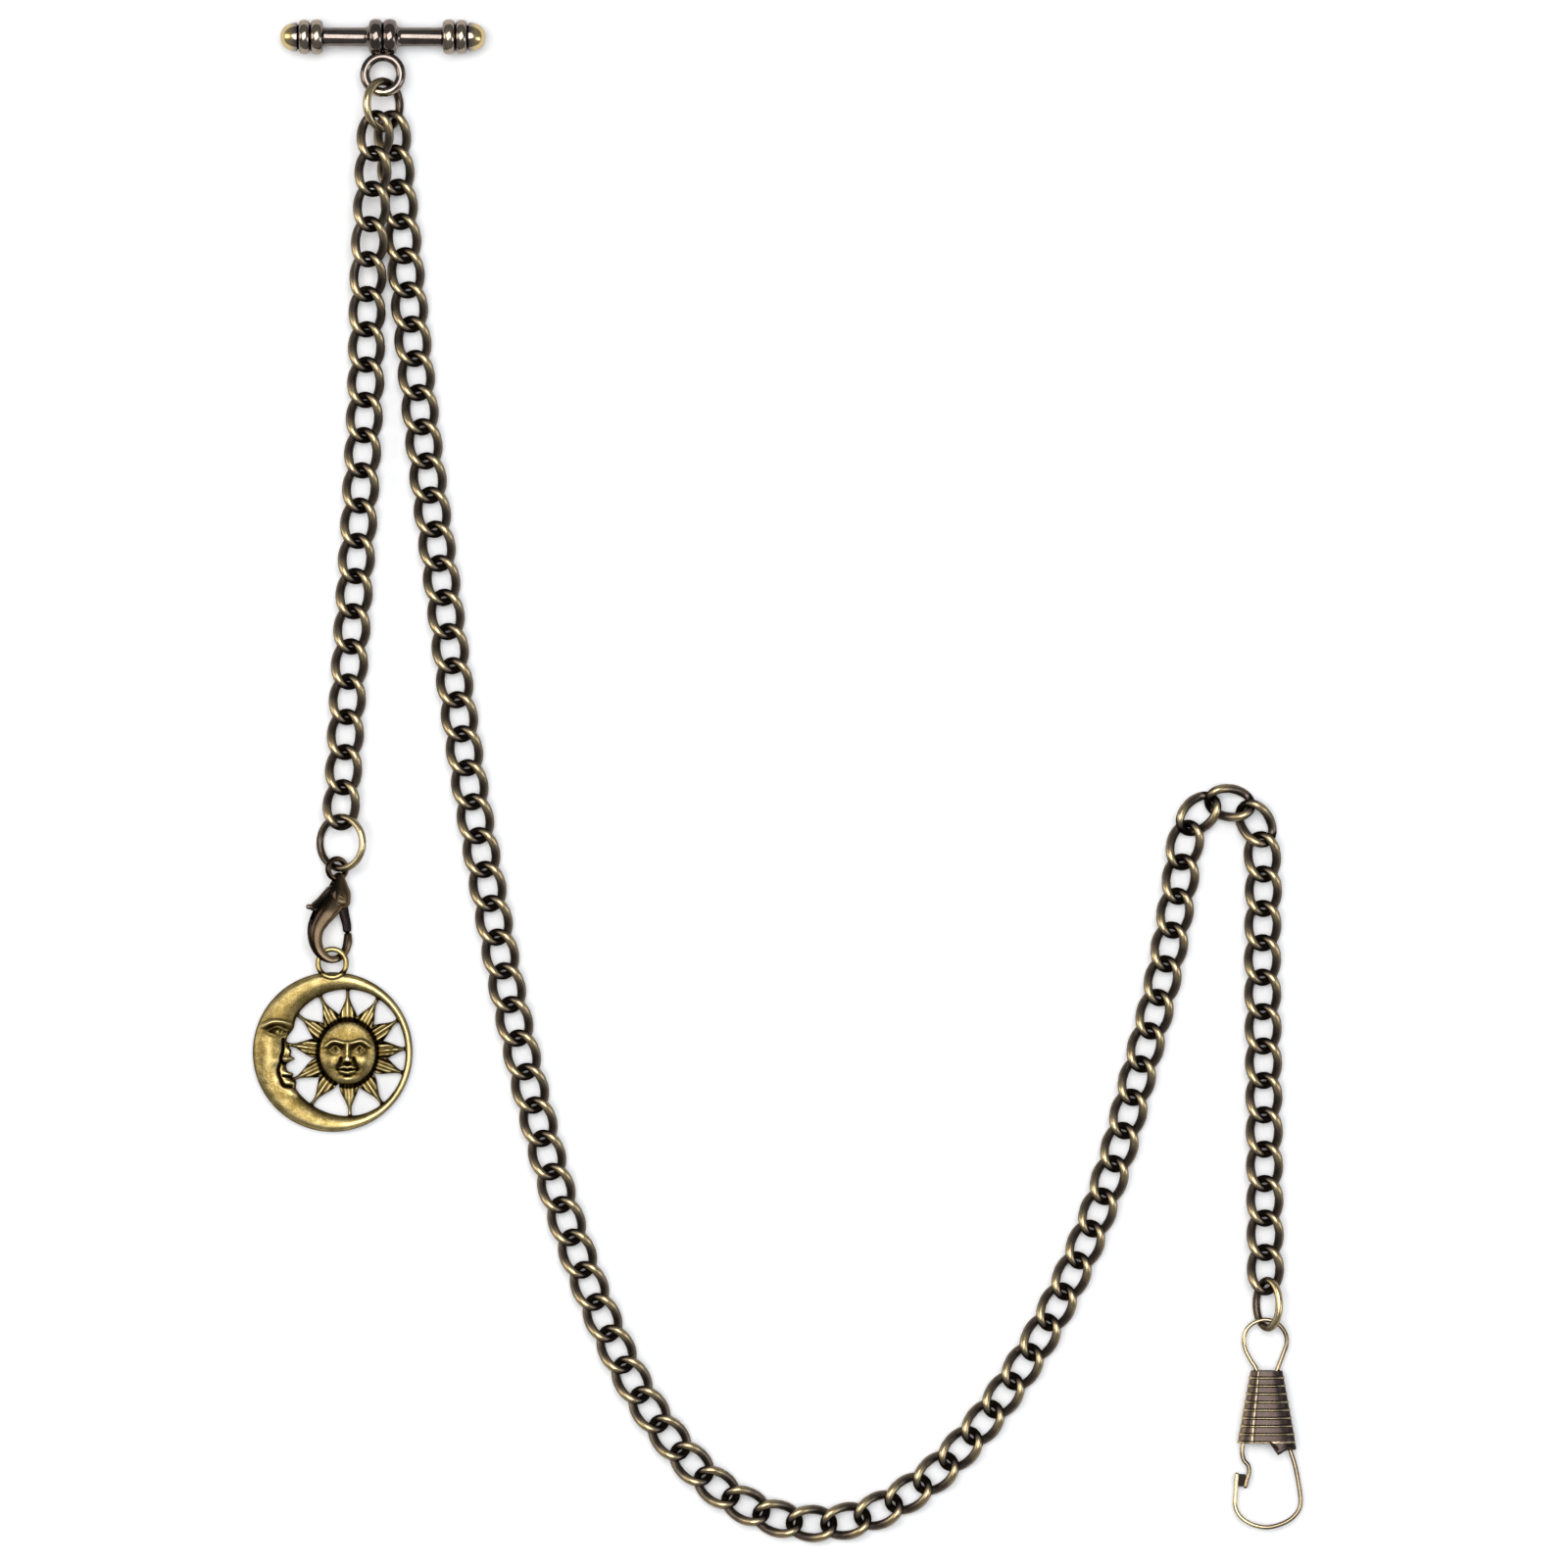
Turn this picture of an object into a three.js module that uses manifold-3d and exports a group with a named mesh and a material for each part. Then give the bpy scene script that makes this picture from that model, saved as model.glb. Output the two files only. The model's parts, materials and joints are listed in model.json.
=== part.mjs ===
// A double Albert style pocket watch chain, laid flat: a T-bar, a connector ring, a short drop chain that
// carries a lobster clasp and a pierced sun and moon fob, and a long curb chain that ends in a spring clip.
// Millimetres, +Z up. The chain lies on the plane z = 0, and +Y runs from the clip end up to the T-bar.

import * as THREE from 'three';
import { mergeVertices } from 'three/addons/utils/BufferGeometryUtils.js';
import Module from 'manifold-3d';

const wasm = await Module();
wasm.setup();

// ---------- driving dimensions ----------

const DEGREE = Math.PI / 180;

// Curb links: each one is an oval of round wire, twisted so that the chain lies flat.
const LINK = { halfWidth: 1.93, halfLength: 3.02, twistRise: 0.87, wire: 1.06, sides: 4, steps: 10 };
const WIRE_SEAM = 0.08;
// Links that share a node are drawn together until this share of their wire is left between their middles.
const CLOSED_SHARE = 0.76;
// Every link of the short chain is a node of its own. The long chain's links share nodes, and the six of
// the tight turn are one node.
const SHORT_GROUPS = Array(20).fill(1);
const LONG_GROUPS = [...Array(21).fill(3), 2, 2, 6, 3, 3, 3, 3];

// The line that the middle of each chain follows, from the connector ring outwards. Points chosen by hand.
const SHORT_ROUTE = [
  [-1.0, -13.6, 4.3], [-1.3, -18.5, 4.25], [-1.5, -23.4, 4.0], [-1.8, -28.2, 3.4], [-2.05, -33, 2.4],
  [-2.2, -37.8, 1.65], [-2.4, -47.5, 1.45], [-3.1, -62, 1.45], [-4.0, -76.5, 1.45], [-4.9, -90.5, 1.45],
  [-5.4, -100, 1.75], [-5.7, -104.8, 2.2],
];
const LONG_ROUTE = [
  [1.25, -13.45, 1.5], [2.2, -23.1, 1.45], [3.2, -33, 1.45], [4.6, -47, 1.45], [6.2, -61, 1.45],
  [8.1, -75.2, 1.45], [9.9, -89.3, 1.45], [12, -103.3, 1.45], [14.5, -117.3, 1.45], [17.2, -131.2, 1.45],
  [20.4, -145, 1.45], [24.1, -158.7, 1.45], [28.7, -171.9, 1.45], [34.6, -184.5, 1.45],
  [39.9, -192.2, 1.45], [46.4, -198.6, 1.45], [54.7, -202.5, 1.45], [64, -202.5, 1.45],
  [72.4, -198.5, 1.45], [79.4, -192.2, 1.45], [87.8, -180.8, 1.45], [94.4, -168.3, 1.45],
  [99.5, -155, 1.45], [103.1, -141.8, 1.45], [106.6, -128.1, 1.45], [109, -114.2, 1.45],
  [109.7, -109.5, 1.45], [111.7, -105.7, 1.45], [116, -104.6, 1.45], [119.3, -107.5, 1.45],
  [120.1, -112, 1.45], [120.1, -126, 1.45], [120.3, -145, 1.45], [120.5, -168.3, 1.65],
];

// T-bar: a turned bar with a cast loop under its middle. It lies with the loop end a little raised.
const T_BAR = { length: 28, height: 2.52, roll: -4.2 * DEGREE, turnSides: 12 };
const T_LOOP = { drop: 5.15, radius: 2.47, wire: 1.34 };

// Round and oval rings, each turned about its long axis by its tilt.
const CONNECTOR = { at: [0.05, -9.3, 3.0], radius: [3.2, 3.2], wire: 1.15, tilt: 48 * DEGREE };
const DROP_RING = { at: [-5.7, -110, 2.35], radius: [3.5, 3.5], wire: 1.0, tilt: -31.6 * DEGREE };
const END_RING = { at: [120.8, -173, 1.95], radius: [2.05, 3.23], wire: 1.06, tilt: -43 * DEGREE };
const RING_STEPS = 18;
const RING_SIDES = 6;

// Lobster clasp, in its own plane, from the middle of the bend that carries the fob.
const CLASP = {
  at: [-7.0, -125.96, 2.35], tilt: 36 * DEGREE, bodyThick: 2.4, hookThick: 0.8, hookTop: 4.6,
  slot: 0.9, slotFrom: 5.5, slotTo: 10.4, leverThick: 0.7,
};
const CLASP_PIVOT = { u: 0.9, v: 8.6, pin: 0.35, hole: 0.43, hub: 0.95, head: 0.55, headThick: 0.15 };
const CLASP_EYE = { u: 0.85, v: 12.4, radius: [1.36, 1.65], wire: 0.76 };
const CLASP_KNOB = { u: -3.62, v: 7.26, radius: 0.45 };

// Fob: a pierced disc. The sun sits off centre and the moon fills the crescent on its other side.
const FOB = { at: [-6.95, -138.6, 0], radius: 10.92, plate: 1.7, rimTop: 2.5, rimWide: 0.9, sides: 40 };
const SUN = {
  u: 2.07, v: -0.1, faceWide: 3.95, faceHigh: 4.35, domeTop: 2.6,
  openInner: 5.0, openOuter: 8.65, rimSide: 7.9,
};
// The directions of the sun's twelve flame rays, in degrees from +X. They are a little uneven, as cast. Each
// ray is twice RAY_TIP degrees wide where it meets the rim.
const SUN_RAYS = [4, 33, 61, 90, 116, 143, 172, 206, 235, 272, 304, 340];
const RAY_TIP = 4;
const BAIL = { v: 12.15, height: 2.3, radius: 1.95, wire: 0.74 };

// Watch clip, from the middle of the sleeve's top edge, in its own plane.
const CLIP = { at: [120.65, -182.1, 1.5], wire: 0.62, wireSides: 6 };
const SLEEVE = {
  height: 9.9, topHalf: 2.2, bottomHalf: 4.0, topThick: 1.3, bottomThick: 1.5, wall: 0.3,
  ribs: 9, ribRise: 0.16, sides: 16,
};

// ---------- shared helpers ----------

// A solid made from a closed geometry, ready to be joined or cut.
function solid(geometry) {
  const bare = geometry.clone();
  bare.deleteAttribute('normal');
  bare.deleteAttribute('uv');
  const merged = mergeVertices(bare, 1e-4);
  return new wasm.Manifold(new wasm.Mesh({
    numProp: 3,
    vertProperties: new Float32Array(merged.attributes.position.array),
    triVerts: new Uint32Array(merged.index.array),
  }));
}

function geometryOf(body) {
  const made = body.getMesh();
  const geometry = new THREE.BufferGeometry();
  geometry.setAttribute('position', new THREE.BufferAttribute(new Float32Array(made.vertProperties), 3));
  geometry.setIndex(new THREE.BufferAttribute(new Uint32Array(made.triVerts), 1));
  geometry.computeVertexNormals();
  return geometry;
}

function union(geometries) {
  return geometries.map(solid).reduce((whole, next) => whole.add(next));
}

function cut(body, geometries) {
  return geometries.map(solid).reduce((whole, next) => whole.subtract(next), body);
}

function polygonShape(sides, radius) {
  const points = Array.from({ length: sides }, (_, i) => {
    const angle = (2 * Math.PI * i) / sides;
    return new THREE.Vector2(radius * Math.cos(angle), radius * Math.sin(angle));
  });
  return new THREE.Shape(points);
}

// Round wire along a path, with flat ends.
function wireAlong(path, diameter, sides, steps) {
  return new THREE.ExtrudeGeometry(polygonShape(sides, diameter / 2), {
    steps, bevelEnabled: false, extrudePath: path,
  });
}

function smoothPath(points) {
  return new THREE.CatmullRomCurve3(points.map((p) => new THREE.Vector3(...p)));
}

// A flat plate with its outline in x and y, centred on z = 0.
function plate(points, thick, bevel = 0) {
  const shape = new THREE.Shape(points.map(([x, y]) => new THREE.Vector2(x, y)));
  const geometry = new THREE.ExtrudeGeometry(shape, {
    depth: thick - 2 * bevel, bevelEnabled: bevel > 0, bevelSize: bevel, bevelThickness: bevel,
    bevelOffset: -bevel, bevelSegments: 1, steps: 1,
  });
  return geometry.translate(0, 0, bevel - thick / 2);
}

function upright(radius, height, sides) {
  return new THREE.CylinderGeometry(radius, radius, height, sides).rotateX(Math.PI / 2);
}

// An oval loop of wire. Its opposite quarters rise and fall, so that it lies flat in a chain, and its two
// ends (+Y and -Y) can be of different lengths. The wire's ends leave a hair-thin seam on one side.
class TwistedOval extends THREE.Curve {
  constructor(halfWidth, headLength, tailLength, rise) {
    super();
    Object.assign(this, { halfWidth, headLength, tailLength, rise, seam: WIRE_SEAM / halfWidth });
  }

  getPoint(t, target = new THREE.Vector3()) {
    const angle = this.seam / 2 + t * (2 * Math.PI - this.seam);
    const halfLength = Math.sin(angle) > 0 ? this.headLength : this.tailLength;
    return target.set(
      this.halfWidth * Math.cos(angle),
      halfLength * Math.sin(angle),
      this.rise * Math.sin(2 * angle),
    );
  }
}

function metal(color, roughness) {
  return new THREE.MeshStandardMaterial({ color, roughness, metalness: 1 });
}

const model = new THREE.Group();

function addMesh(parent, name, geometry, material) {
  const mesh = new THREE.Mesh(geometry, material);
  mesh.name = name;
  parent.add(mesh);
  return mesh;
}

function addGroup({ at, tilt = 0, roll = 0 }) {
  const group = new THREE.Group();
  group.position.set(...at);
  group.rotation.set(roll, tilt, 0);
  model.add(group);
  return group;
}

// ---------- chains ----------

// How far a link reaches towards a neighbour: its full half length across a joint, or less inside a node,
// where the wires meet.
function reach(spacing) {
  return spacing === null ? LINK.halfLength : (spacing + CLOSED_SHARE * LINK.wire) / 2;
}

function linkGeometry(spacingAhead, spacingBehind) {
  const path = new TwistedOval(LINK.halfWidth, reach(spacingAhead), reach(spacingBehind), LINK.twistRise);
  return wireAlong(path, LINK.wire, LINK.sides, LINK.steps);
}

// One matrix per link: its middle is on the route, its long axis (+Y) points back along the route, and its
// face (+Z) is up.
function linkPlaces(route, count) {
  const path = smoothPath(route);
  path.arcLengthDivisions = 4000;
  const middles = path.getSpacedPoints(count - 1);
  return middles.map((middle, i) => {
    const before = middles[Math.max(i - 1, 0)];
    const after = middles[Math.min(i + 1, count - 1)];
    const along = new THREE.Vector3().subVectors(before, after).normalize();
    const across = new THREE.Vector3().crossVectors(along, new THREE.Vector3(0, 0, 1)).normalize();
    const up = new THREE.Vector3().crossVectors(across, along);
    return new THREE.Matrix4().makeBasis(across, along, up).setPosition(middle);
  });
}

function spacing(placeA, placeB) {
  if (!placeA || !placeB) return null;
  const middles = [placeA, placeB].map((spot) => new THREE.Vector3().setFromMatrixPosition(spot));
  return middles[0].distanceTo(middles[1]);
}

// The links of one node, in the frame of the first of them.
function linkGroup(places) {
  const home = places[0].clone().invert();
  const links = places.map((spot, i) => {
    const link = linkGeometry(spacing(spot, places[i - 1]), spacing(spot, places[i + 1]));
    return link.applyMatrix4(home.clone().multiply(spot));
  });
  return links.length === 1 ? links[0] : geometryOf(union(links));
}

function addChain(route, groups, prefix) {
  const places = linkPlaces(route, groups.reduce((sum, size) => sum + size, 0));
  let next = 0;
  groups.forEach((size, i) => {
    const spots = places.slice(next, next + size);
    const name = `${prefix}_${String(i + 1).padStart(2, '0')}`;
    const mesh = addMesh(model, name, linkGroup(spots), metal(0x4a3b30, 0.4));
    spots[0].decompose(mesh.position, mesh.quaternion, mesh.scale);
    next += size;
  });
}

// ---------- T-bar ----------

// Half of the turned outline, from the tip to the middle: a domed end, two beads, the rod and a centre bead.
function tBarProfile() {
  const half = T_BAR.length / 2;
  const outline = [
    [0, half], [1.1, 13.7], [1.75, 12.9], [2.0, 11.9], [1.95, 11.25], [1.55, 11.15],
    [2.1, 11.0], [2.42, 10.4], [2.1, 9.8], [1.9, 9.7], [2.1, 9.6], [2.42, 8.9], [2.1, 8.25],
    [1.34, 8.0], [1.34, 2.05], [2.1, 1.9], [2.48, 1.0], [2.1, 0.15], [1.9, 0],
  ];
  const mirrored = outline.slice(0, -1).reverse().map(([radius, along]) => [radius, -along]);
  return [...outline, ...mirrored].map(([radius, along]) => new THREE.Vector2(radius, along));
}

function addTBar() {
  const bar = new THREE.LatheGeometry(tBarProfile().reverse(), T_BAR.turnSides).rotateZ(Math.PI / 2);
  const loop = new THREE.TorusGeometry(T_LOOP.radius, T_LOOP.wire / 2, RING_SIDES, T_BAR.turnSides);
  loop.translate(0, -T_LOOP.drop, 0);
  const group = addGroup({ at: [0, 0, T_BAR.height], roll: T_BAR.roll });
  addMesh(group, 't_bar', geometryOf(union([bar, loop])), metal(0x4f3d2c, 0.25));
}

// ---------- rings ----------

function addRing(name, ring, color) {
  const [halfWidth, halfLength] = ring.radius;
  const path = new TwistedOval(halfWidth, halfLength, halfLength, 0);
  addMesh(addGroup(ring), name, wireAlong(path, ring.wire, RING_SIDES, RING_STEPS), metal(color, 0.3));
}

// ---------- lobster clasp ----------

// The clasp seen from its face: the teardrop housing above, and the hook that bends round below it.
const CLASP_OUTLINE = [
  [-0.54, 10.72], [-1.54, 9.34], [-2.35, 7.95], [-3.04, 6.5], [-3.44, 5.8], [-3.71, 4.27], [-3.53, 2.73],
  [-2.72, 1.2], [-1.45, -0.03], [0, -0.49], [1.27, -0.11], [2.26, 0.66], [2.99, 1.81], [3.3, 3.19],
  [3.08, 3.6], [2.14, 3.4], [1.99, 2.43], [1.63, 1.35], [0.81, 0.66], [0, 0.51], [-0.81, 0.81],
  [-1.54, 1.66], [-1.77, 3.19], [-1.45, 4.58], [-0.54, 5.65], [0.91, 6.34], [1.99, 6.8], [2.63, 7.49],
  [2.72, 9.03], [2.26, 11.18],
];

function claspBody() {
  const { bodyThick, hookThick, hookTop, slot, slotFrom, slotTo } = CLASP;
  const outline = plate(CLASP_OUTLINE, bodyThick, 0.25);
  const eyePath = new TwistedOval(...CLASP_EYE.radius, CLASP_EYE.radius[1], 0);
  const eye = wireAlong(eyePath, CLASP_EYE.wire, RING_SIDES, RING_STEPS).rotateZ(-Math.PI / 2);
  eye.translate(CLASP_EYE.u, CLASP_EYE.v, 0);
  const overHook = [1, -1].map((side) => {
    const shaving = new THREE.BoxGeometry(12, 2 * hookTop, bodyThick);
    return shaving.translate(0, 0, (side * (bodyThick + hookThick)) / 2);
  });
  const leverSlot = new THREE.BoxGeometry(12, slotTo - slotFrom, slot);
  leverSlot.translate(0, (slotTo + slotFrom) / 2, 0);
  const pinHole = upright(CLASP_PIVOT.hole, 2 * bodyThick, 12).translate(CLASP_PIVOT.u, CLASP_PIVOT.v, 0);
  return geometryOf(cut(union([outline, eye]), [...overHook, leverSlot, pinHole]));
}

// The sprung lever: a thumb knob on one side of its pivot and the gate that closes the hook on the other.
function claspLever() {
  const { u, v, hub, hole } = CLASP_PIVOT;
  const thick = CLASP.leverThick;
  const gate = plate([[0.1, 8.2], [1.8, 3.82], [3.1, 3.85], [2.65, 6.9], [1.6, 9.2]], thick);
  const thumbArm = plate([[0.3, 9.35], [-3.5, 7.55], [-3.6, 7.0], [-0.1, 7.95]], thick);
  const knob = new THREE.SphereGeometry(CLASP_KNOB.radius, 10, 6).translate(CLASP_KNOB.u, CLASP_KNOB.v, 0);
  const boss = upright(hub, thick, 16).translate(u, v, 0);
  const pinHole = upright(hole, 2 * thick, 12).translate(u, v, 0);
  return geometryOf(cut(union([boss, gate, thumbArm, knob]), [pinHole]));
}

function claspRivet() {
  const { pin, head, headThick, hole } = CLASP_PIVOT;
  const clear = hole - pin;
  const under = CLASP.bodyThick / 2 + clear;
  const top = under + headThick;
  const profile = [
    [0, -top], [head, -top], [head, -under], [pin, -under], [pin, under], [head, under], [head, top], [0, top],
  ].map(([radius, along]) => new THREE.Vector2(radius, along));
  return new THREE.LatheGeometry(profile, 12).rotateX(Math.PI / 2).translate(CLASP_PIVOT.u, CLASP_PIVOT.v, 0);
}

// A bow spring of fine wire at the top of the slot, which bears on the lever.
function claspSpring() {
  const bow = smoothPath([[-0.9, 9.75, 0], [0.3, 10.12, 0], [1.5, 10.0, 0], [2.1, 9.7, 0]]);
  return wireAlong(bow, 0.3, 6, 6);
}

function addClasp() {
  const group = addGroup(CLASP);
  addMesh(group, 'clasp_body', claspBody(), metal(0x4c382a, 0.3));
  addMesh(group, 'clasp_lever', claspLever(), metal(0x3a2d26, 0.35));
  addMesh(group, 'clasp_rivet', claspRivet(), metal(0x5a4732, 0.3));
  addMesh(group, 'clasp_spring', claspSpring(), metal(0x6b6661, 0.3));
}

// ---------- fob ----------

// The radius about the sun at which the openings end. It is less on the side where the rim is thin.
function openingEnd(angle) {
  const towardsRim = Math.max(0, Math.cos(angle));
  return SUN.openOuter - (SUN.openOuter - SUN.rimSide) * towardsRim ** 2;
}

// One opening of the pierced disc, between two rays: narrow at the face and wide at the rim.
function rayOpening(ray, index) {
  const nextRay = index + 1 < SUN_RAYS.length ? SUN_RAYS[index + 1] : SUN_RAYS[0] + 360;
  const middle = (ray + nextRay) / 2;
  const outerHalf = (nextRay - ray) / 2 - RAY_TIP;
  const corner = (degrees, radius) => {
    const angle = (middle + degrees) * DEGREE;
    const reach = radius ?? openingEnd(angle);
    return [SUN.u + reach * Math.cos(angle), SUN.v + reach * Math.sin(angle)];
  };
  const outer = [-1, -0.5, 0, 0.5, 1].map((share) => corner(share * outerHalf));
  const inner = [RAY_TIP / 2, -RAY_TIP / 2].map((degrees) => corner(degrees, SUN.openInner));
  return plate([...outer, ...inner], 4);
}

// A ridge along the middle of one ray.
function rayRidge(ray) {
  const ridge = plate([[3.9, 0.6], [3.9, -0.6], [8.2, -0.25], [8.2, 0.25]], 1.2);
  return ridge.rotateZ(ray * DEGREE).translate(SUN.u, SUN.v, FOB.plate);
}

function standingDisc(radius, top, sides = FOB.sides) {
  return upright(radius, top, sides).translate(0, 0, top / 2);
}

// The moon's crescent: the part of the disc that stands outside a circle about the sun.
function moonCrescent() {
  const whole = solid(standingDisc(FOB.radius - 0.5, FOB.rimTop - 0.15));
  const sunSide = upright(SUN.openOuter, 8, FOB.sides).translate(SUN.u, SUN.v, 0);
  return cut(whole, [sunSide]);
}

function fobGeometry() {
  const { radius, rimTop, rimWide } = FOB;
  const openings = SUN_RAYS.map(rayOpening);
  const disc = cut(solid(standingDisc(radius, FOB.plate)), openings);
  const rim = cut(solid(standingDisc(radius, rimTop)), [upright(radius - rimWide, 8, FOB.sides)]);
  const face = new THREE.SphereGeometry(1, 18, 6).rotateX(Math.PI / 2);
  face.scale(SUN.faceWide, SUN.faceHigh, SUN.domeTop - FOB.plate + 0.1).translate(SUN.u, SUN.v, FOB.plate - 0.1);
  const ridges = SUN_RAYS.map(rayRidge);
  const bail = new THREE.TorusGeometry(BAIL.radius, BAIL.wire / 2, RING_SIDES, RING_STEPS);
  bail.translate(0, BAIL.v, BAIL.height);
  return geometryOf(disc.add(rim).add(moonCrescent()).add(union([face, ...ridges, bail])));
}

function addFob() {
  addMesh(addGroup(FOB), 'sun_moon_fob', fobGeometry(), metal(0x8a7340, 0.45));
}

// ---------- watch clip ----------

// The eye, the leg through the sleeve and the hook are one bent wire.
const CLIP_WIRE = [
  [-1.2, -3, 0], [-1.25, -1, 0], [-1.45, 0.3, 0], [-2.2, 1.5, 0], [-2.9, 2.95, 0.05], [-3.1, 4.4, 0.15],
  [-2.6, 5.8, 0.25], [-1.4, 6.7, 0.3], [0.1, 6.95, 0.3], [1.6, 6.35, 0.3], [2.55, 5.1, 0.2],
  [2.75, 3.8, 0.1], [2.2, 2.1, 0], [1.6, 0.5, 0], [1.3, -0.6, 0], [1.6, -3, 0], [2.6, -8, 0],
  [3.1, -10.4, 0], [3.85, -12.8, 0], [4.4, -15.6, 0], [4.65, -17.6, 0], [4.45, -18.9, 0],
  [3.4, -20.2, 0], [1.6, -21.1, 0], [-0.2, -21.4, 0], [-2.2, -20.9, 0], [-3.7, -19.8, 0],
  [-4.3, -18.4, 0], [-4.25, -17, 0], [-4.15, -15.5, 0], [-4.05, -14.2, 0],
];
const CLIP_GATE = [
  [-2.5, -7.4, 0], [-3.0, -9.2, 0], [-3.35, -10.9, 0], [-3.1, -12.2, 0], [-2.5, -13, 0],
  [-2.4, -13.9, 0], [-2.7, -15, 0], [-2.9, -15.8, 0],
];

// The hook's end is bent into a small trough that the gate springs shut against.
function clipCatch() {
  const side = new THREE.BoxGeometry(0.3, 1.8, 0.95).translate(-4.2, -15.0, -0.35);
  const floor = new THREE.BoxGeometry(1.5, 1.8, 0.4).translate(-3.55, -15.0, -0.65);
  return [side, floor];
}

function clipWireGeometry() {
  const wire = wireAlong(smoothPath(CLIP_WIRE), CLIP.wire, CLIP.wireSides, 56);
  return geometryOf(union([wire, ...clipCatch()]));
}

// How far the sleeve's lower edge hangs down at the front: a pointed tab on the hook's side.
function tabDrop(across) {
  const left = THREE.MathUtils.clamp((across - 0.4) / 1.1, 0, 1);
  const right = THREE.MathUtils.clamp((across - 1.5) / 1.2, 0, 1);
  return 1.6 * left - 0.7 * right;
}

// A ribbed, flattened cone of sheet, open at both ends. It is turned round, then pressed flat.
function sleeveGeometry() {
  const { height, topHalf, bottomHalf, wall, ribs, ribRise } = SLEEVE;
  const halfAt = (down) => topHalf + ((bottomHalf - topHalf) * down) / height;
  const outer = Array.from({ length: 2 * ribs + 1 }, (_, i) => {
    const down = (height * i) / (2 * ribs);
    return new THREE.Vector2(halfAt(down) + (i % 2 ? -ribRise / 2 : ribRise / 2), -down);
  });
  const inner = [new THREE.Vector2(bottomHalf - wall, -height), new THREE.Vector2(topHalf - wall, 0)];
  const profile = [...outer, ...inner, outer[0].clone()].reverse();
  const cone = new THREE.LatheGeometry(profile, SLEEVE.sides);
  const spots = cone.attributes.position;
  for (let i = 0; i < spots.count; i += 1) {
    const down = -spots.getY(i);
    const halfThick = SLEEVE.topThick + ((SLEEVE.bottomThick - SLEEVE.topThick) * down) / height;
    const atFront = down > height - 0.01 && spots.getZ(i) > 0;
    spots.setZ(i, (spots.getZ(i) * halfThick) / halfAt(down));
    if (atFront) spots.setY(i, -down - tabDrop(spots.getX(i)));
  }
  return cone;
}

function addClip() {
  const group = addGroup(CLIP);
  addMesh(group, 'clip_wire', clipWireGeometry(), metal(0x9a8a66, 0.3));
  const gate = wireAlong(smoothPath(CLIP_GATE), CLIP.wire, CLIP.wireSides, 16);
  addMesh(group, 'clip_gate', gate, metal(0x9a8a66, 0.3));
  addMesh(group, 'clip_sleeve', sleeveGeometry(), metal(0x54453c, 0.4));
}

// ---------- the whole ----------

addTBar();
addRing('connector_ring', CONNECTOR, 0x8c7346);
addChain(SHORT_ROUTE, SHORT_GROUPS, 'short_link');
addRing('drop_ring', DROP_RING, 0x6a5a48);
addClasp();
addFob();
addChain(LONG_ROUTE, LONG_GROUPS, 'long_links');
addRing('end_ring', END_RING, 0x8c7346);
addClip();

// The origin is the middle of the footprint, on the surface that the chain lies on.
model.updateMatrixWorld(true);
const box = new THREE.Box3().setFromObject(model, true);
const middle = box.getCenter(new THREE.Vector3());
model.position.set(-middle.x, -middle.y, -box.min.z);
model.updateMatrixWorld(true);

export default model;
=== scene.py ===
# The looks of the pocket watch chain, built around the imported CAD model. Metres, +Z up.
# Shapes are worked out in millimetres in the T-bar's frame, whose origin is the middle of the T-bar on the
# surface, and are placed in the CAD model's frame as each mesh is made.

import json
import math

import bmesh
import bpy
import numpy as np
from mathutils import Matrix, Vector


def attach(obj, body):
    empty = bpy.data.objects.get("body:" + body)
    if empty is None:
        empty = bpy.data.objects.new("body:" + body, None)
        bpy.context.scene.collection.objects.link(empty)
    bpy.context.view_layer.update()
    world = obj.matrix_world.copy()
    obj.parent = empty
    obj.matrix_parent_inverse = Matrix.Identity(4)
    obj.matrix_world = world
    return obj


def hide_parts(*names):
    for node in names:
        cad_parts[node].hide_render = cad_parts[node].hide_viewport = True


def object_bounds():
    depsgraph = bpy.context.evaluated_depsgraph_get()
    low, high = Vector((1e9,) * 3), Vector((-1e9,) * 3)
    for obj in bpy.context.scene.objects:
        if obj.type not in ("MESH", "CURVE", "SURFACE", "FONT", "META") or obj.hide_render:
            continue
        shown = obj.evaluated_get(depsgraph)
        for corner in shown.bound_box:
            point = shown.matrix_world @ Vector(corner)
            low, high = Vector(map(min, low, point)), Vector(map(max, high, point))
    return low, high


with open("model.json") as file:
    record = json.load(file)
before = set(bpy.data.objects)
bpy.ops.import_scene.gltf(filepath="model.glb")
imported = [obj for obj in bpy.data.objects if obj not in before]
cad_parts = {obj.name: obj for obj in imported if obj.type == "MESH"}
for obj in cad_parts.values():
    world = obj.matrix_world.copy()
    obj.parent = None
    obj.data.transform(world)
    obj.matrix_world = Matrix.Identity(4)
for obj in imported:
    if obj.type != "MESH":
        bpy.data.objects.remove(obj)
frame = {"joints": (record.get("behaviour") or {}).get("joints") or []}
CAD_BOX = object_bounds()

MM = 0.001

# ---------- dimensions repeated from the CAD model ----------

# A link's wire, and the oval that its middle line follows, which rises and falls twice on its way round.
LINK = {"half_width": 1.93, "half_length": 3.02, "rise": 0.87, "wire": 1.08}
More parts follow.
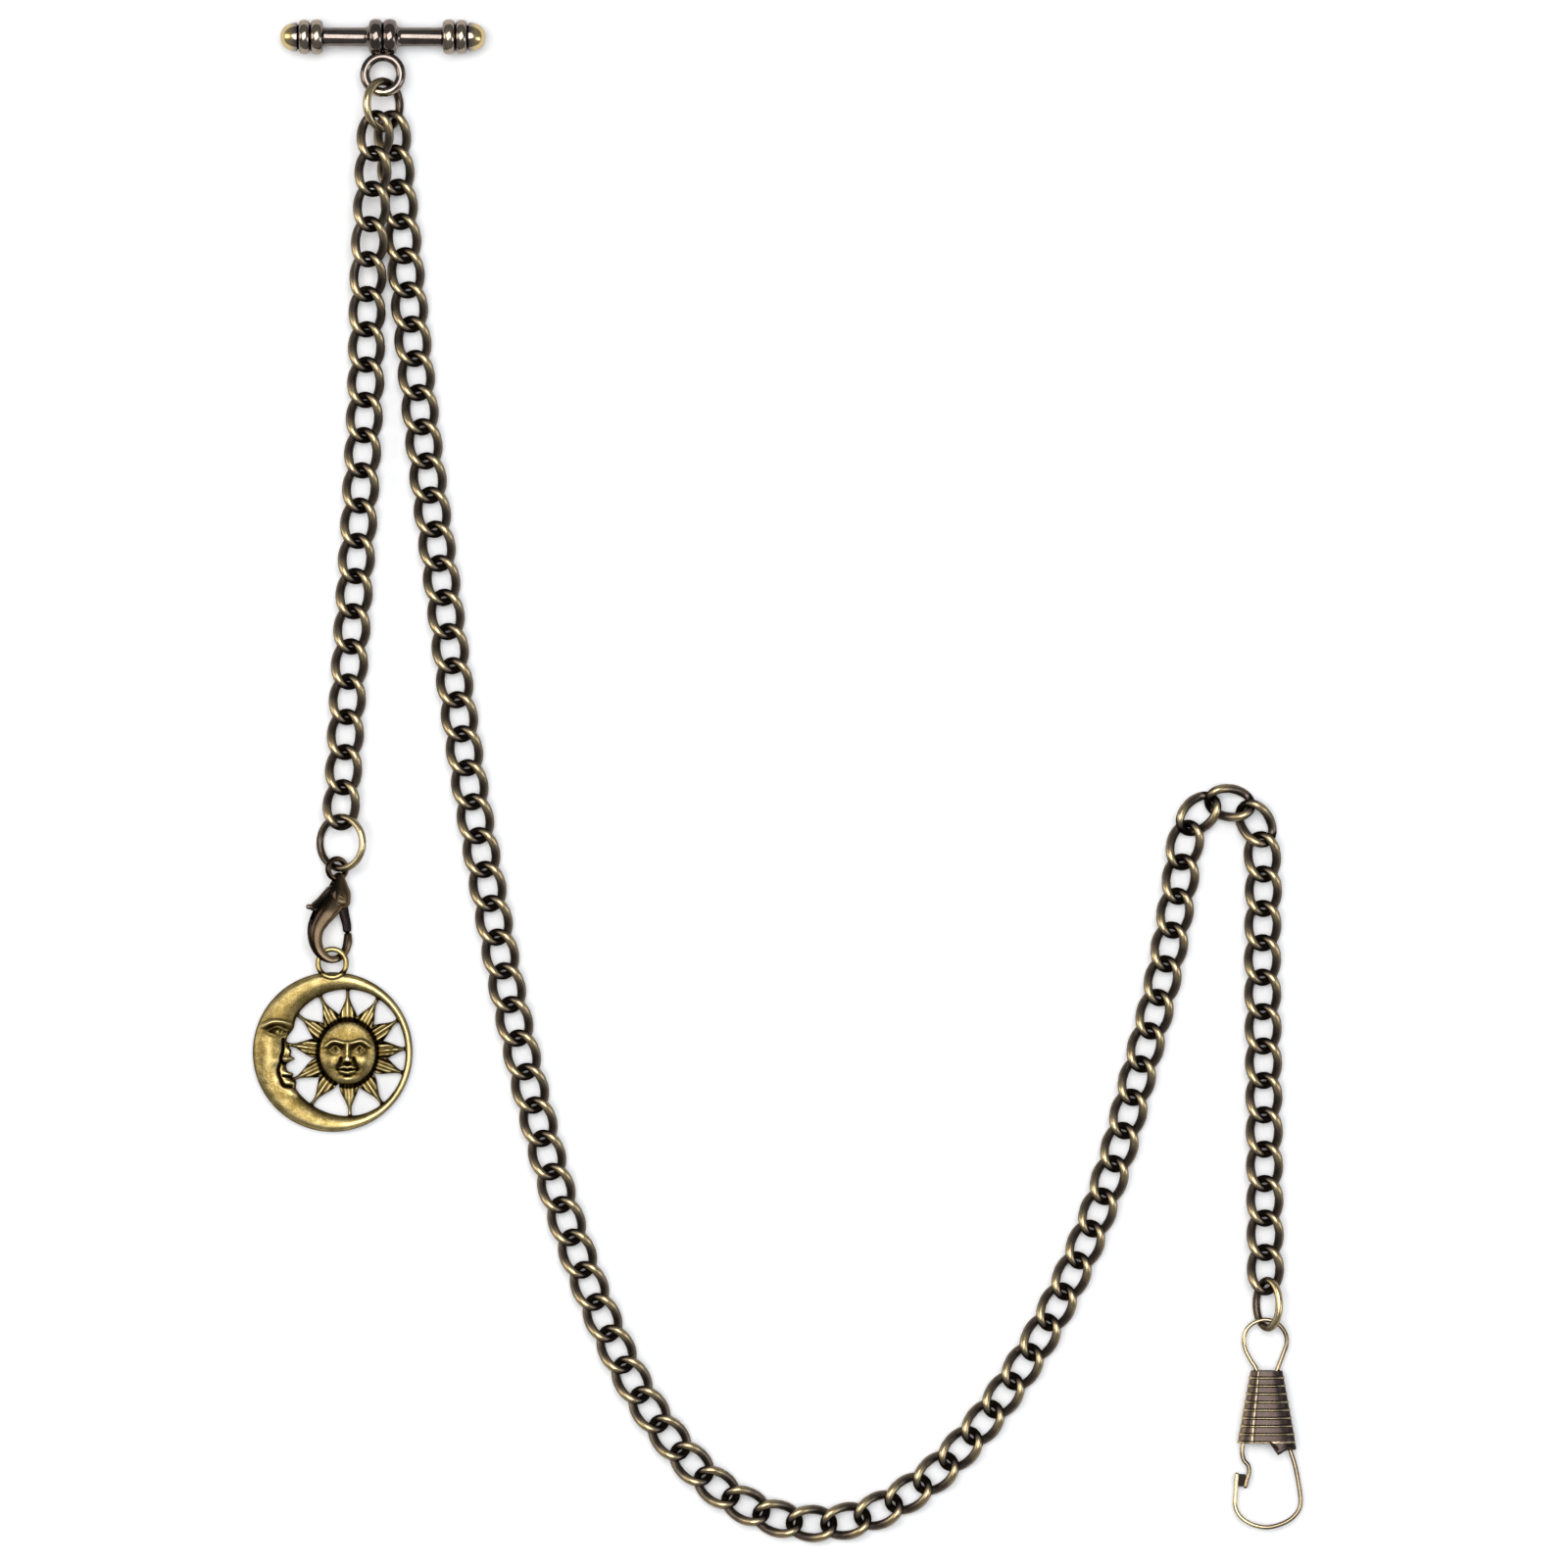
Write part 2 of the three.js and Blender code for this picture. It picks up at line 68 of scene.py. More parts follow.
# How many links each CAD node holds, and the routes that the links' middles lie on.
SHORT_GROUPS = [1] * 20
LONG_GROUPS = [3] * 21 + [2, 2, 6, 3, 3, 3, 3]
SHORT_ROUTE = [
    (-1.0, -13.6, 4.3), (-1.3, -18.5, 4.25), (-1.5, -23.4, 4.0), (-1.8, -28.2, 3.4), (-2.05, -33, 2.4),
    (-2.2, -37.8, 1.65), (-2.4, -47.5, 1.45), (-3.1, -62, 1.45), (-4.0, -76.5, 1.45), (-4.9, -90.5, 1.45),
    (-5.4, -100, 1.75), (-5.7, -104.8, 2.2),
]
LONG_ROUTE = [
    (1.25, -13.45, 1.5), (2.2, -23.1, 1.45), (3.2, -33, 1.45), (4.6, -47, 1.45), (6.2, -61, 1.45),
    (8.1, -75.2, 1.45), (9.9, -89.3, 1.45), (12, -103.3, 1.45), (14.5, -117.3, 1.45), (17.2, -131.2, 1.45),
    (20.4, -145, 1.45), (24.1, -158.7, 1.45), (28.7, -171.9, 1.45), (34.6, -184.5, 1.45),
    (39.9, -192.2, 1.45), (46.4, -198.6, 1.45), (54.7, -202.5, 1.45), (64, -202.5, 1.45),
    (72.4, -198.5, 1.45), (79.4, -192.2, 1.45), (87.8, -180.8, 1.45), (94.4, -168.3, 1.45),
    (99.5, -155, 1.45), (103.1, -141.8, 1.45), (106.6, -128.1, 1.45), (109, -114.2, 1.45),
    (109.7, -109.5, 1.45), (111.7, -105.7, 1.45), (116, -104.6, 1.45), (119.3, -107.5, 1.45),
    (120.1, -112, 1.45), (120.1, -126, 1.45), (120.3, -145, 1.45), (120.5, -168.3, 1.65),
]

# The connector ring's hinge is at this point of the T-bar's frame, which gives that frame's origin.
CONNECTOR_HINGE = Vector((0.05, -6.7, 2.85))
hinge = next(j for j in frame["joints"] if j["name"] == "connector_swing")
ORIGIN = Matrix.Translation(Vector(hinge["pos_m"]) / MM - CONNECTOR_HINGE)


def place(at, tilt=0.0, roll=0.0):
    """The matrix of a part's own frame: turned by roll about X, then by tilt about Y, in degrees."""
    turn = Matrix.Rotation(math.radians(roll), 4, "X") @ Matrix.Rotation(math.radians(tilt), 4, "Y")
    return Matrix.Translation(Vector(at)) @ turn


# Each part's own frame.
T_BAR = place((0, 0, 2.52), roll=-4.2)
CONNECTOR = place((0.05, -9.3, 3.0), tilt=48)
DROP_RING = place((-5.7, -110, 2.35), tilt=-31.6)
CLASP = place((-7.0, -125.96, 2.35), tilt=36)
FOB = place((-6.95, -138.6, 0))
END_RING = place((120.8, -173, 1.95), tilt=-43)
CLIP = place((120.65, -182.1, 1.5))

# Links and rings are drawn this much thinner than the CAD model's, so that neighbours stay clear.
WIRE_EASE = 0.03

# ---------- mesh helpers ----------


def smooth_path(points, per_span=12, closed=False):
    """Points along a centripetal Catmull-Rom curve, as an array."""
    given = np.array(points, float)
    if closed:
        given = np.vstack([given[-1:], given, given[:2]])
    else:
        given = np.vstack([2 * given[0] - given[1], given, 2 * given[-1] - given[-2]])
    steps = np.linspace(0, 1, per_span, endpoint=False)[:, None]
    spans = []
    for p0, p1, p2, p3 in zip(given[:-3], given[1:-2], given[2:-1], given[3:]):
        d0, d1, d2 = (math.sqrt(np.linalg.norm(b - a)) for a, b in ((p0, p1), (p1, p2), (p2, p3)))
        leave = ((p1 - p0) / d0 - (p2 - p0) / (d0 + d1) + (p2 - p1) / d1) * d1
        arrive = ((p2 - p1) / d1 - (p3 - p1) / (d1 + d2) + (p3 - p2) / d2) * d1
        square = -3 * p1 + 3 * p2 - 2 * leave - arrive
        cube = 2 * p1 - 2 * p2 + leave + arrive
        spans.append(p1 + leave * steps + square * steps**2 + cube * steps**3)
    if not closed:
        spans.append(given[-2:-1])
    return np.vstack(spans)


def spread(values, count):
    """Values given at even steps along a path, smoothly spread over count points of it."""
    shares = np.linspace(0, 1, len(values))
    table = smooth_path(list(zip(shares, values)), 16)
    return np.interp(np.linspace(0, 1, count), table[:, 0], table[:, 1])


def full_turn(steps):
    """Evenly spaced angles round a circle, without its end."""
    return np.linspace(0, 2 * math.pi, steps, endpoint=False)


def oval(angle, radii, middle=(0, 0, 0)):
    """Points of a level circle or oval at the given angles."""
    x = middle[0] + radii[0] * np.cos(angle)
    y = middle[1] + radii[1] * np.sin(angle)
    return np.stack([x, y, middle[2] + 0 * angle], axis=1)


def angle_between(a, b):
    """The angle from one direction to another the shorter way round."""
    return np.abs((a - b + math.pi) % (2 * math.pi) - math.pi)


def seam_groove(angle, at, half_width):
    """The wire's share of its full thickness round a link or ring: a shallow groove at its butt seam."""
    return 1 - 0.1 * np.exp(-(angle_between(angle, at) / half_width) ** 2)


def squared(turn, power):
    """A circle's cosine or sine, pushed out towards a square's by a power over 2."""
    return np.sign(turn) * np.abs(turn) ** (2 / power)


def ring_faces(rings, sides, closed=False):
    """The faces between rings of vertices that are numbered ring by ring."""
    faces = []
    for i in range(rings if closed else rings - 1):
        here, there = i * sides, (i + 1) % rings * sides
        for k in range(sides):
            after = (k + 1) % sides
            faces.append((here + k, there + k, there + after, here + after))
    return faces


def tube(points, wide, thick, closed=False, sides=20, power=2.0):
    """A bar along points: wide and thick are its half sizes across the path and upwards, at each point.
    A power over 2 squares its section. Open ends are rounded. Returns vertices and faces."""
    wide, thick = (np.broadcast_to(half, len(points)) for half in (wide, thick))
    if closed:
        along = np.roll(points, -1, 0) - np.roll(points, 1, 0)
    else:
        along = np.gradient(points, axis=0)
    along /= np.linalg.norm(along, axis=1, keepdims=True)
    across = np.cross(along, (0, 0, 1))
    across /= np.linalg.norm(across, axis=1, keepdims=True)
    up = np.cross(across, along)
    if not closed:
        points, wide, thick, across, up = round_ends(points, wide, thick, along, across, up)
    angle = full_turn(sides)
    rings = points[:, None] + across[:, None] * (wide[:, None] * squared(np.cos(angle), power))[..., None]
    rings = rings + up[:, None] * (thick[:, None] * squared(np.sin(angle), power))[..., None]
    total = len(points)
    faces = ring_faces(total, sides, closed)
    if not closed:
        faces.append(tuple(range(sides)))
        faces.append(tuple(reversed(range((total - 1) * sides, total * sides))))
    return rings.reshape(-1, 3), faces


def round_ends(points, wide, thick, along, across, up, rings=5):
    """Adds rings to both ends of a bar, so that they close like a worn wire end. The last ring stops short of
    the bar's middle line and leaves a small flat."""
    turn = np.linspace(0, math.pi / 2, rings + 1)[1:]
    turn[-1] = math.radians(84)

    def cap(end, way):
        reach = min(wide[end], thick[end])
        offset = points[end] + way * along[end] * (reach * np.sin(turn))[:, None]
        return offset, wide[end] * np.cos(turn), thick[end] * np.cos(turn)

    def repeat_ends(rows):
        return np.concatenate([rows[:1].repeat(rings, 0), rows, rows[-1:].repeat(rings, 0)])

    start, stop = cap(0, -1), cap(-1, 1)
    capped = [np.concatenate([before[::-1], middle, after])
              for before, middle, after in zip(start, (points, wide, thick), stop)]
    return *capped, repeat_ends(across), repeat_ends(up)


def solid_ring(steps, middle, radii, half_wide, half_thick):
    """A closed ring with no seam."""
    return tube(oval(full_turn(steps), radii, middle), half_wide, half_thick, closed=True, sides=24)


def turned(profile, sides=72):
    """A solid turned about X from (along, radius) points, with a point at each end of the axis."""
    profile = np.array(profile, float)
    angle = full_turn(sides)
    rings = np.stack([
        profile[1:-1, 0][:, None] + 0 * angle,
        profile[1:-1, 1][:, None] * np.cos(angle),
        profile[1:-1, 1][:, None] * np.sin(angle),
    ], axis=-1).reshape(-1, 3)
    count = len(profile) - 2
    faces = ring_faces(count, sides)
    first, last = len(rings), len(rings) + 1
    last_ring = (count - 1) * sides
    for k in range(sides):
        after = (k + 1) % sides
        faces.append((first, k, after))
        faces.append((last, last_ring + after, last_ring + k))
    ends = np.array([(profile[0, 0], 0, 0), (profile[-1, 0], 0, 0)])
    return np.vstack([rings, ends]), faces


def add_object(name, data):
    """A new object in the scene."""
    thing = bpy.data.objects.new(name, data)
    bpy.context.scene.collection.objects.link(thing)
    return thing


def mesh_piece(name, shape, spot, material=None):
    """An object from vertices and faces in a part's own frame, with its place in its mesh."""
    verts, faces = shape
    mesh = bpy.data.meshes.new(name)
    mesh.from_pydata([tuple(v) for v in verts], [], faces)
    mesh.transform(Matrix.Scale(MM, 4) @ ORIGIN @ spot)
    mesh.update()
    piece = add_object(name, mesh)
    turn_out(mesh)
    mesh.shade_smooth()
    if material:
        mesh.materials.append(material)
    return piece


def turn_out(mesh):
    """Turns the faces outwards if the closed mesh's volume comes out negative."""
    corners = rows_of(mesh.vertices, "co")
    mesh.calc_loop_triangles()
    index = np.zeros(len(mesh.loop_triangles) * 3, int)
    mesh.loop_triangles.foreach_get("vertices", index)
    a, b, c = (corners[index.reshape(-1, 3)[:, i]] for i in range(3))
    if np.einsum("ij,ij->i", a, np.cross(b, c)).sum() < 0:
        mesh.flip_normals()


def combine(piece, *others, carve=False):
    """Joins other solids to a piece, or carves them out of it, and leaves one clean mesh."""
    for other in others:
        modifier = piece.modifiers.new("combine", "BOOLEAN")
        modifier.operation = "DIFFERENCE" if carve else "UNION"
        modifier.solver = "EXACT"
        modifier.object = other
    bpy.context.view_layer.update()
    result = piece.evaluated_get(bpy.context.evaluated_depsgraph_get())
    mesh = bpy.data.meshes.new_from_object(result)
    piece.modifiers.clear()
    piece.data = mesh
    for other in others:
        bpy.data.objects.remove(other)
    drop_slivers(mesh)
    mesh.shade_smooth()
    mesh.set_sharp_from_angle(angle=math.radians(45))
    return piece


def drop_slivers(mesh):
    """Merges the vertices that a boolean leaves on top of each other, and drops faces with no area and the
    spare vertices inside an edge, which make doubled slivers when the faces are cut into triangles."""
    work = bmesh.new()
    work.from_mesh(mesh)
    bmesh.ops.remove_doubles(work, verts=work.verts, dist=0.001 * MM)
    bmesh.ops.dissolve_degenerate(work, edges=work.edges, dist=0.0005 * MM)
    spare = [vert for vert in work.verts if len(vert.link_edges) == 2]
    bmesh.ops.dissolve_verts(work, verts=spare)
    work.to_mesh(mesh)
    work.free()


def rows_of(vectors, key):
    """A mesh's places or normals as an array, one row each."""
    values = np.zeros(len(vectors) * 3)
    vectors.foreach_get(key, values)
    return values.reshape(-1, 3)


def convexity(mesh, passes=3):
    """How far each vertex stands out of its neighbours, in millimetres, averaged over a few passes."""
    co = rows_of(mesh.vertices, "co")
    ends = np.zeros(len(mesh.edges) * 2, int)
    mesh.edges.foreach_get("vertices", ends)
    a, b = ends.reshape(-1, 2).T
    count = np.bincount(a, minlength=len(co)) + np.bincount(b, minlength=len(co))
    smooth = co
    for _ in range(passes):
        total = np.zeros_like(co)
        np.add.at(total, a, smooth[b])
        np.add.at(total, b, smooth[a])
        smooth = total / np.maximum(count, 1)[:, None]
    return np.einsum("ij,ij->i", co - smooth, rows_of(mesh.vertex_normals, "vector")) / MM


def paint_wear_and_light(piece, amount):
    """Stores how light each vertex is painted, from -1 (darkest) to 1: real wear and patina, and on many
    pieces painted light and shade as well.
    """
    layer = piece.data.attributes.new("wear_and_light", "FLOAT", "POINT")
    amount = np.broadcast_to(np.clip(amount, -1, 1), len(piece.data.vertices))
    layer.data.foreach_set("value", amount.astype(np.float32))


def soft_step(low, high, value):
    """0 at low, 1 at high and smooth between them. low may be the larger of the two."""
    share = np.clip((value - low) / (high - low), 0, 1)
    return share * share * (3 - 2 * share)


def places_in(piece, spot):
    """Each vertex's place in a part's own frame, in millimetres."""
    back = np.array((Matrix.Scale(MM, 4) @ ORIGIN @ spot).inverted())
    return rows_of(piece.data.vertices, "co") @ back[:3, :3].T + back[:3, 3]


def facing_along(piece, spot, axis):
    """How squarely each vertex faces along (1) or against (-1) an axis of a part's own frame."""
    return rows_of(piece.data.vertex_normals, "vector") @ np.array(spot.col[axis][:3])


def upness(piece, spot=Matrix.Identity(4)):
    """How squarely each vertex faces up (1) or down (-1), in a part's own frame or in the whole's."""
    return facing_along(piece, spot, 2)


def finish_piece(piece, body, node):
    """Puts a piece on its CAD body and in the place of its CAD node."""
    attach(piece, body)
    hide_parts(node)


# ---------- materials ----------


class Nodes:
    """A short way to write a material's nodes."""

    def __init__(self, name):
        self.material = bpy.data.materials.new(name)
        self.material.use_nodes = True
        self.tree = self.material.node_tree
        self.shader = self.tree.nodes["Principled BSDF"]
        self.place = self.add("ShaderNodeTexCoord").outputs["Object"]

    def add(self, kind, **settings):
        node = self.tree.nodes.new(kind)
        for key, value in settings.items():
            setattr(node, key, value)
        return node

    def link(self, source, target):
        self.tree.links.new(source, target)

    def noise(self, per_mm, detail=4.0, roughness=0.55, stretch=None):
        """Cloudy noise whose features are about 1 / per_mm millimetres across."""
        node = self.add("ShaderNodeTexNoise")
        node.inputs["Scale"].default_value = per_mm / MM
        node.inputs["Detail"].default_value = detail
        node.inputs["Roughness"].default_value = roughness
        source = self.place
        if stretch:
            mapping = self.add("ShaderNodeMapping")
            mapping.inputs["Scale"].default_value = stretch
            self.link(self.place, mapping.inputs["Vector"])
            source = mapping.outputs["Vector"]
        self.link(source, node.inputs["Vector"])
        return node.outputs["Fac"]

    def math(self, operation, *values, clamp=False):
        """A sum on numbers and on other nodes' results."""
        node = self.add("ShaderNodeMath", operation=operation, use_clamp=clamp)
        for i, value in enumerate(values):
            if isinstance(value, (int, float)):
                node.inputs[i].default_value = value
            else:
                self.link(value, node.inputs[i])
        return node.outputs[0]

    def ramp(self, factor, *stops):
        """Colours (or greys) at places from 0 to 1."""
        node = self.add("ShaderNodeValToRGB")
        elements = node.color_ramp.elements
        while len(elements) < len(stops):
            elements.new(0.5)
        for element, (at, colour) in zip(elements, stops):
            element.position = at
            element.color = (*np.broadcast_to(colour, 3), 1)
        self.link(factor, node.inputs["Fac"])
        return node.outputs["Color"]

    def set(self, **values):
        """Constant values on the shader's own sockets."""
        for name, value in values.items():
            self.shader.inputs[name.replace("_", " ").title()].default_value = value

    def bump(self, height, depth_mm, under=None):
        """Fine relief from a height of 0 to 1, on top of another one if it is given."""
        node = self.add("ShaderNodeBump")
        node.inputs["Strength"].default_value = 1.0
        node.inputs["Distance"].default_value = depth_mm * MM
        self.link(height, node.inputs["Height"])
        if under:
            self.link(under, node.inputs["Normal"])
        return node.outputs["Normal"]


def antique(name, dark, middle, bright, rough, shine, grain=0.012, mottle=0.35, fine=5.0, lacquer=0.0):
    """Antiqued brass: dark patina in the hollows, bare bright metal where the piece wears, and on many pieces
    painted light and shade as well. A vertex attribute says where each is, and noise breaks its edge up.
    rough and shine are the roughness of the patina and of the bright metal, and lacquer is the strength of a
    clear coat."""
    n = Nodes(name)
    wear_and_light = n.add("ShaderNodeAttribute", attribute_name="wear_and_light").outputs["Fac"]
    cloud = n.noise(0.45, detail=3.0)
    speckle = n.noise(fine, detail=5.0, roughness=0.65)
    broken = n.math("SUBTRACT", n.math("ADD", cloud, speckle), 1.0)
    level = n.math("ADD", wear_and_light, n.math("MULTIPLY", broken, mottle), clamp=True)
    colour = n.ramp(level, (0.0, dark), (0.45, middle), (0.95, bright))
    n.link(colour, n.shader.inputs["Base Color"])
    streak = n.noise(2.5, detail=3.0, stretch=(1.0, 0.35, 1.0))
    uneven = n.math("MULTIPLY", n.math("SUBTRACT", streak, 0.5), 0.16)
    base = n.ramp(level, (0.0, rough), (1.0, shine))
    n.link(n.math("ADD", base, uneven, clamp=True), n.shader.inputs["Roughness"])
    pits = n.noise(fine * 1.6, detail=4.0, roughness=0.7)
    waves = n.noise(0.9, detail=2.0)
    n.link(n.bump(pits, grain, n.bump(waves, grain * 2.2)), n.shader.inputs["Normal"])
    n.set(metallic=1.0, specular_tint=(0.55, 0.5, 0.46, 1.0), coat_weight=lacquer, coat_roughness=0.06)
    return n.material


CHAIN_METAL = antique("chain_antique_brass", (0.017, 0.013, 0.01), (0.135, 0.108, 0.085),
                      (0.42, 0.325, 0.185), rough=0.4, shine=0.3)
T_BAR_METAL = antique("t_bar_antique_brass", (0.05, 0.034, 0.028), (0.27, 0.22, 0.185), (0.6, 0.45, 0.2),
                      rough=0.12, shine=0.22, grain=0.003, mottle=0.25, fine=3.0, lacquer=0.7)
RING_METAL = antique("golden_ring_brass", (0.035, 0.026, 0.02), (0.17, 0.13, 0.09), (0.5, 0.4, 0.23),
                     rough=0.28, shine=0.26, grain=0.005)
CLASP_METAL = antique("clasp_bronze", (0.015, 0.011, 0.009), (0.105, 0.068, 0.038), (0.35, 0.25, 0.15),
                      rough=0.24, shine=0.24, grain=0.003, mottle=0.2)
# The lever is painted much darker than the clasp's bronze: painted shade in the slot on the clasp's left
# side.
SHADED_LEVER_METAL = antique("lever_bronze_painted_shade", (0.01, 0.008, 0.008), (0.04, 0.03, 0.026), (0.3, 0.22, 0.15),
                      rough=0.26, shine=0.28, grain=0.004, mottle=0.2)
SPRING_METAL = antique("spring_steel", (0.2, 0.19, 0.18), (0.35, 0.34, 0.33), (0.6, 0.59, 0.57),
                       rough=0.35, shine=0.25, grain=0.003, mottle=0.15)
FOB_METAL = antique("fob_cast_brass", (0.014, 0.008, 0.003), (0.165, 0.115, 0.034), (0.6, 0.48, 0.22),
                    rough=0.42, shine=0.32, grain=0.02, mottle=0.75, fine=5.0)
CLIP_METAL = antique("clip_wire_brass", (0.009, 0.007, 0.006), (0.27, 0.215, 0.14), (0.6, 0.5, 0.3),
                     rough=0.24, shine=0.22, grain=0.005, mottle=0.4)
SLEEVE_METAL = antique("sleeve_antique_brass", (0.024, 0.018, 0.017), (0.1, 0.074, 0.062), (0.62, 0.5, 0.28),
                       rough=0.3, shine=0.24, grain=0.005, mottle=0.16)

# ---------- chains ----------


def link_places(route, count):
    """One matrix per link: its middle is on the route, its long axis (+Y) points back along the route."""
    path = smooth_path(route, 200)
    length = np.concatenate([[0], np.cumsum(np.linalg.norm(np.diff(path, axis=0), axis=1))])
    at = np.linspace(0, length[-1], count)
    middles = [Vector(np.array([np.interp(s, length, path[:, k]) for k in range(3)])) for s in at]
    places = []
    for i, middle in enumerate(middles):
        along = (middles[max(i - 1, 0)] - middles[min(i + 1, count - 1)]).normalized()
        across = along.cross(Vector((0, 0, 1))).normalized()
        up = across.cross(along)
        spot = Matrix((across, along, up)).transposed().to_4x4()
        spot.translation = middle
        places.append(spot)
    return places


def link_shape(steps=72, sides=18):
    """A curb link: a twisted oval of round wire, a little wider on its two sides, with a butt seam."""
    angle = full_turn(steps)
    points = oval(angle, (LINK["half_width"], LINK["half_length"]))
    points[:, 2] = LINK["rise"] * np.sin(2 * angle)
    half = (LINK["wire"] - WIRE_EASE) / 2 * seam_groove(angle, math.radians(8), 0.05)
    pressed = 1 + 0.18 * np.cos(angle) ** 2
    return tube(points, half * pressed, half, closed=True, sides=sides)


def make_chain(route, groups, node_prefix, piece_prefix):
    """One piece per link, each in the place of the CAD node that holds it. The links have painted shade where
    they nest in each other, flat faces painted lighter than their edges, painted light on their outer sides,
    and wear with a painted highlight on the raised shoulder of the twist."""
    places = link_places(route, sum(groups))
    shape = link_shape()
    owners = [f"{node_prefix}_{i + 1:02d}" for i, size in enumerate(groups) for _ in range(size)]
    for i, (spot, node) in enumerate(zip(places, owners)):
        link = mesh_piece(f"{piece_prefix}_{i + 1:02d}", shape, spot, CHAIN_METAL)
        local = places_in(link, spot)
        up = upness(link, spot)
        # Painted light and shade on each link: lit outer sides and flat faces, a painted highlight with wear
        # on the raised shoulder, and painted shade at the nested ends.
        outward = facing_along(link, spot, 0) * np.sign(local[:, 0])
        raised = soft_step(0.35, 1.35, local[:, 2] * np.sign(up)) * soft_step(0.3, 0.95, np.abs(up))
        nested_shade = soft_step(2.1, 2.8, np.abs(local[:, 1]))
        painted_light = 0.26 * soft_step(0.2, 0.9, np.abs(up)) + 0.3 * soft_step(0.1, 0.8, outward)
        paint_wear_and_light(link, 0.1 + painted_light * (1 - nested_shade) + 0.66 * raised - 0.4 * nested_shade * (1 - raised))
        finish_piece(link, node, node)


# ---------- T-bar ----------

# Along the bar from its middle: the plain round stretch, the beads and the dome on its end.
BAR_RADIUS = 1.3
MIDDLE_BEAD = {"middle": 0.95, "half": 0.95, "core": 1.75, "top": 2.48}
END_BEADS = [
    {"middle": 9.02, "half": 0.86, "core": 1.75, "top": 2.42},
    {"middle": 10.72, "half": 0.8, "core": 1.7, "top": 2.38},
]
DOME = {"from": 11.72, "length": 2.28, "radius": 2.0}
BAR_LOOP = {"middle": (0, -5.15, 0), "radii": (2.45, 2.45), "half": 0.67}


def bead(middle, half, core, top, steps=14):
    """The (along, radius) points of one turned bead, an arc from the core's radius to the top's."""
    turn = np.linspace(math.pi, 0, steps)
    return [(middle + half * math.cos(a), core + (top - core) * math.sin(a) ** 0.75) for a in turn]


def t_bar_profile():
    """Half of the bar from its middle to its tip, with its mirror image before it."""
    half = bead(**MIDDLE_BEAD)
    half += [(1.97, 1.62), (2.15, 1.38), (2.6, BAR_RADIUS), (7.5, BAR_RADIUS), (8.0, 1.36), (8.14, 1.6)]
    for end_bead in END_BEADS:
        half += bead(**end_bead)
    half += [(11.56, 1.62), (11.64, 1.8)]
    for a in np.linspace(0, math.pi / 2, 16):
        half.append((DOME["from"] + DOME["length"] * math.sin(a), DOME["radius"] * math.cos(a) ** 0.85))
    return [(-along, radius) for along, radius in reversed(half[1:])] + half


def make_t_bar():
    """The turned bar and its loop, golden on the domes, the beads' crests and the foot of the loop."""
    bar = mesh_piece("turned_t_bar", turned(t_bar_profile()), T_BAR, T_BAR_METAL)
    angle = full_turn(96) - math.pi / 2
    half = BAR_LOOP["half"] * seam_groove(angle, -math.pi / 2, 0.06)
    loop = tube(oval(angle, BAR_LOOP["radii"], BAR_LOOP["middle"]), half, half, closed=True, sides=28)
    bar = combine(bar, mesh_piece("loop", loop, T_BAR))
    local = places_in(bar, T_BAR)
    from_middle = np.abs(local[:, 0])
    domes = soft_step(11.5, 12.9, from_middle)
    crests = soft_step(2.05, 2.45, np.hypot(local[:, 1], local[:, 2])) * soft_step(8.0, 8.3, from_middle)
    foot = soft_step(-6.9, -7.7, local[:, 1])
    paint_wear_and_light(bar, 0.16 + 0.8 * domes + 0.42 * crests + 0.5 * foot)
    finish_piece(bar, "t_bar", "t_bar")


# ---------- rings ----------


def make_ring(name, spot, node, radii, wire, seam_degrees, painted_lit_side):
    """A round or oval jump ring, cut through at its seam. Its last argument picks the side painted lighter as
    if lit, 1 for the right and -1 for the left, and its faces are painted lighter than its edges.
    """
    gap = 0.07 / max(radii)
    angle = math.radians(seam_degrees) + gap + np.linspace(0, 2 * math.pi - 2 * gap, 120)
    half = (wire - WIRE_EASE) / 2
    ring = mesh_piece(name, tube(oval(angle, radii), half, half, sides=24), spot, RING_METAL)
    local = places_in(ring, spot)
    # Painted light: one side of the ring lit, the other in shade, and the edges darker than the faces.
    side = soft_step(-0.35, 0.75, painted_lit_side * local[:, 0] / radii[0])
    paint_wear_and_light(ring, 0.12 + 0.78 * side * soft_step(-0.2, 0.7, np.abs(upness(ring))))
    finish_piece(ring, node, node)


# ---------- lobster clasp ----------

# The middle line of the hook, from inside the housing round to its tip, and then the housing's cheeks, each
# with the half width and the half thickness at each point.
HOOK_SPINE = [
    (0.9, 8.6, 0), (0.05, 7.6, 0), (-1.0, 6.6, 0), (-1.95, 5.5, 0), (-2.62, 4.2, 0), (-2.68, 2.7, 0),
    (-2.2, 1.4, 0), (-1.3, 0.5, 0), (-0.3, 0.05, 0), (0.7, 0.1, 0), (1.6, 0.55, 0), (2.3, 1.4, 0),
    (2.62, 2.45, 0), (2.66, 3.3, 0),
]
HOOK_HALF_WIDE = [1.3, 1.5, 1.5, 1.35, 1.17, 0.97, 0.8, 0.64, 0.52, 0.49, 0.5, 0.54, 0.58, 0.5]
HOOK_HALF_THICK = [0.85, 1.1, 1.13, 0.97, 0.77, 0.62, 0.5, 0.45, 0.41, 0.4, 0.42, 0.44, 0.5, 0.45]
CHEEK_SPINE = [(1.2, 11.2, 0), (1.15, 10.2, 0), (1.1, 9.1, 0), (1.0, 8.0, 0)]
CHEEK_HALF_WIDE = [0.72, 1.2, 1.66, 1.72]
CHEEK_HALF_THICK = [0.72, 0.98, 1.21, 1.22]
CLASP_EYE = {"middle": (0.85, 12.4, 0), "radii": (1.45, 1.36), "half_wide": 0.38, "half_thick": 0.42}
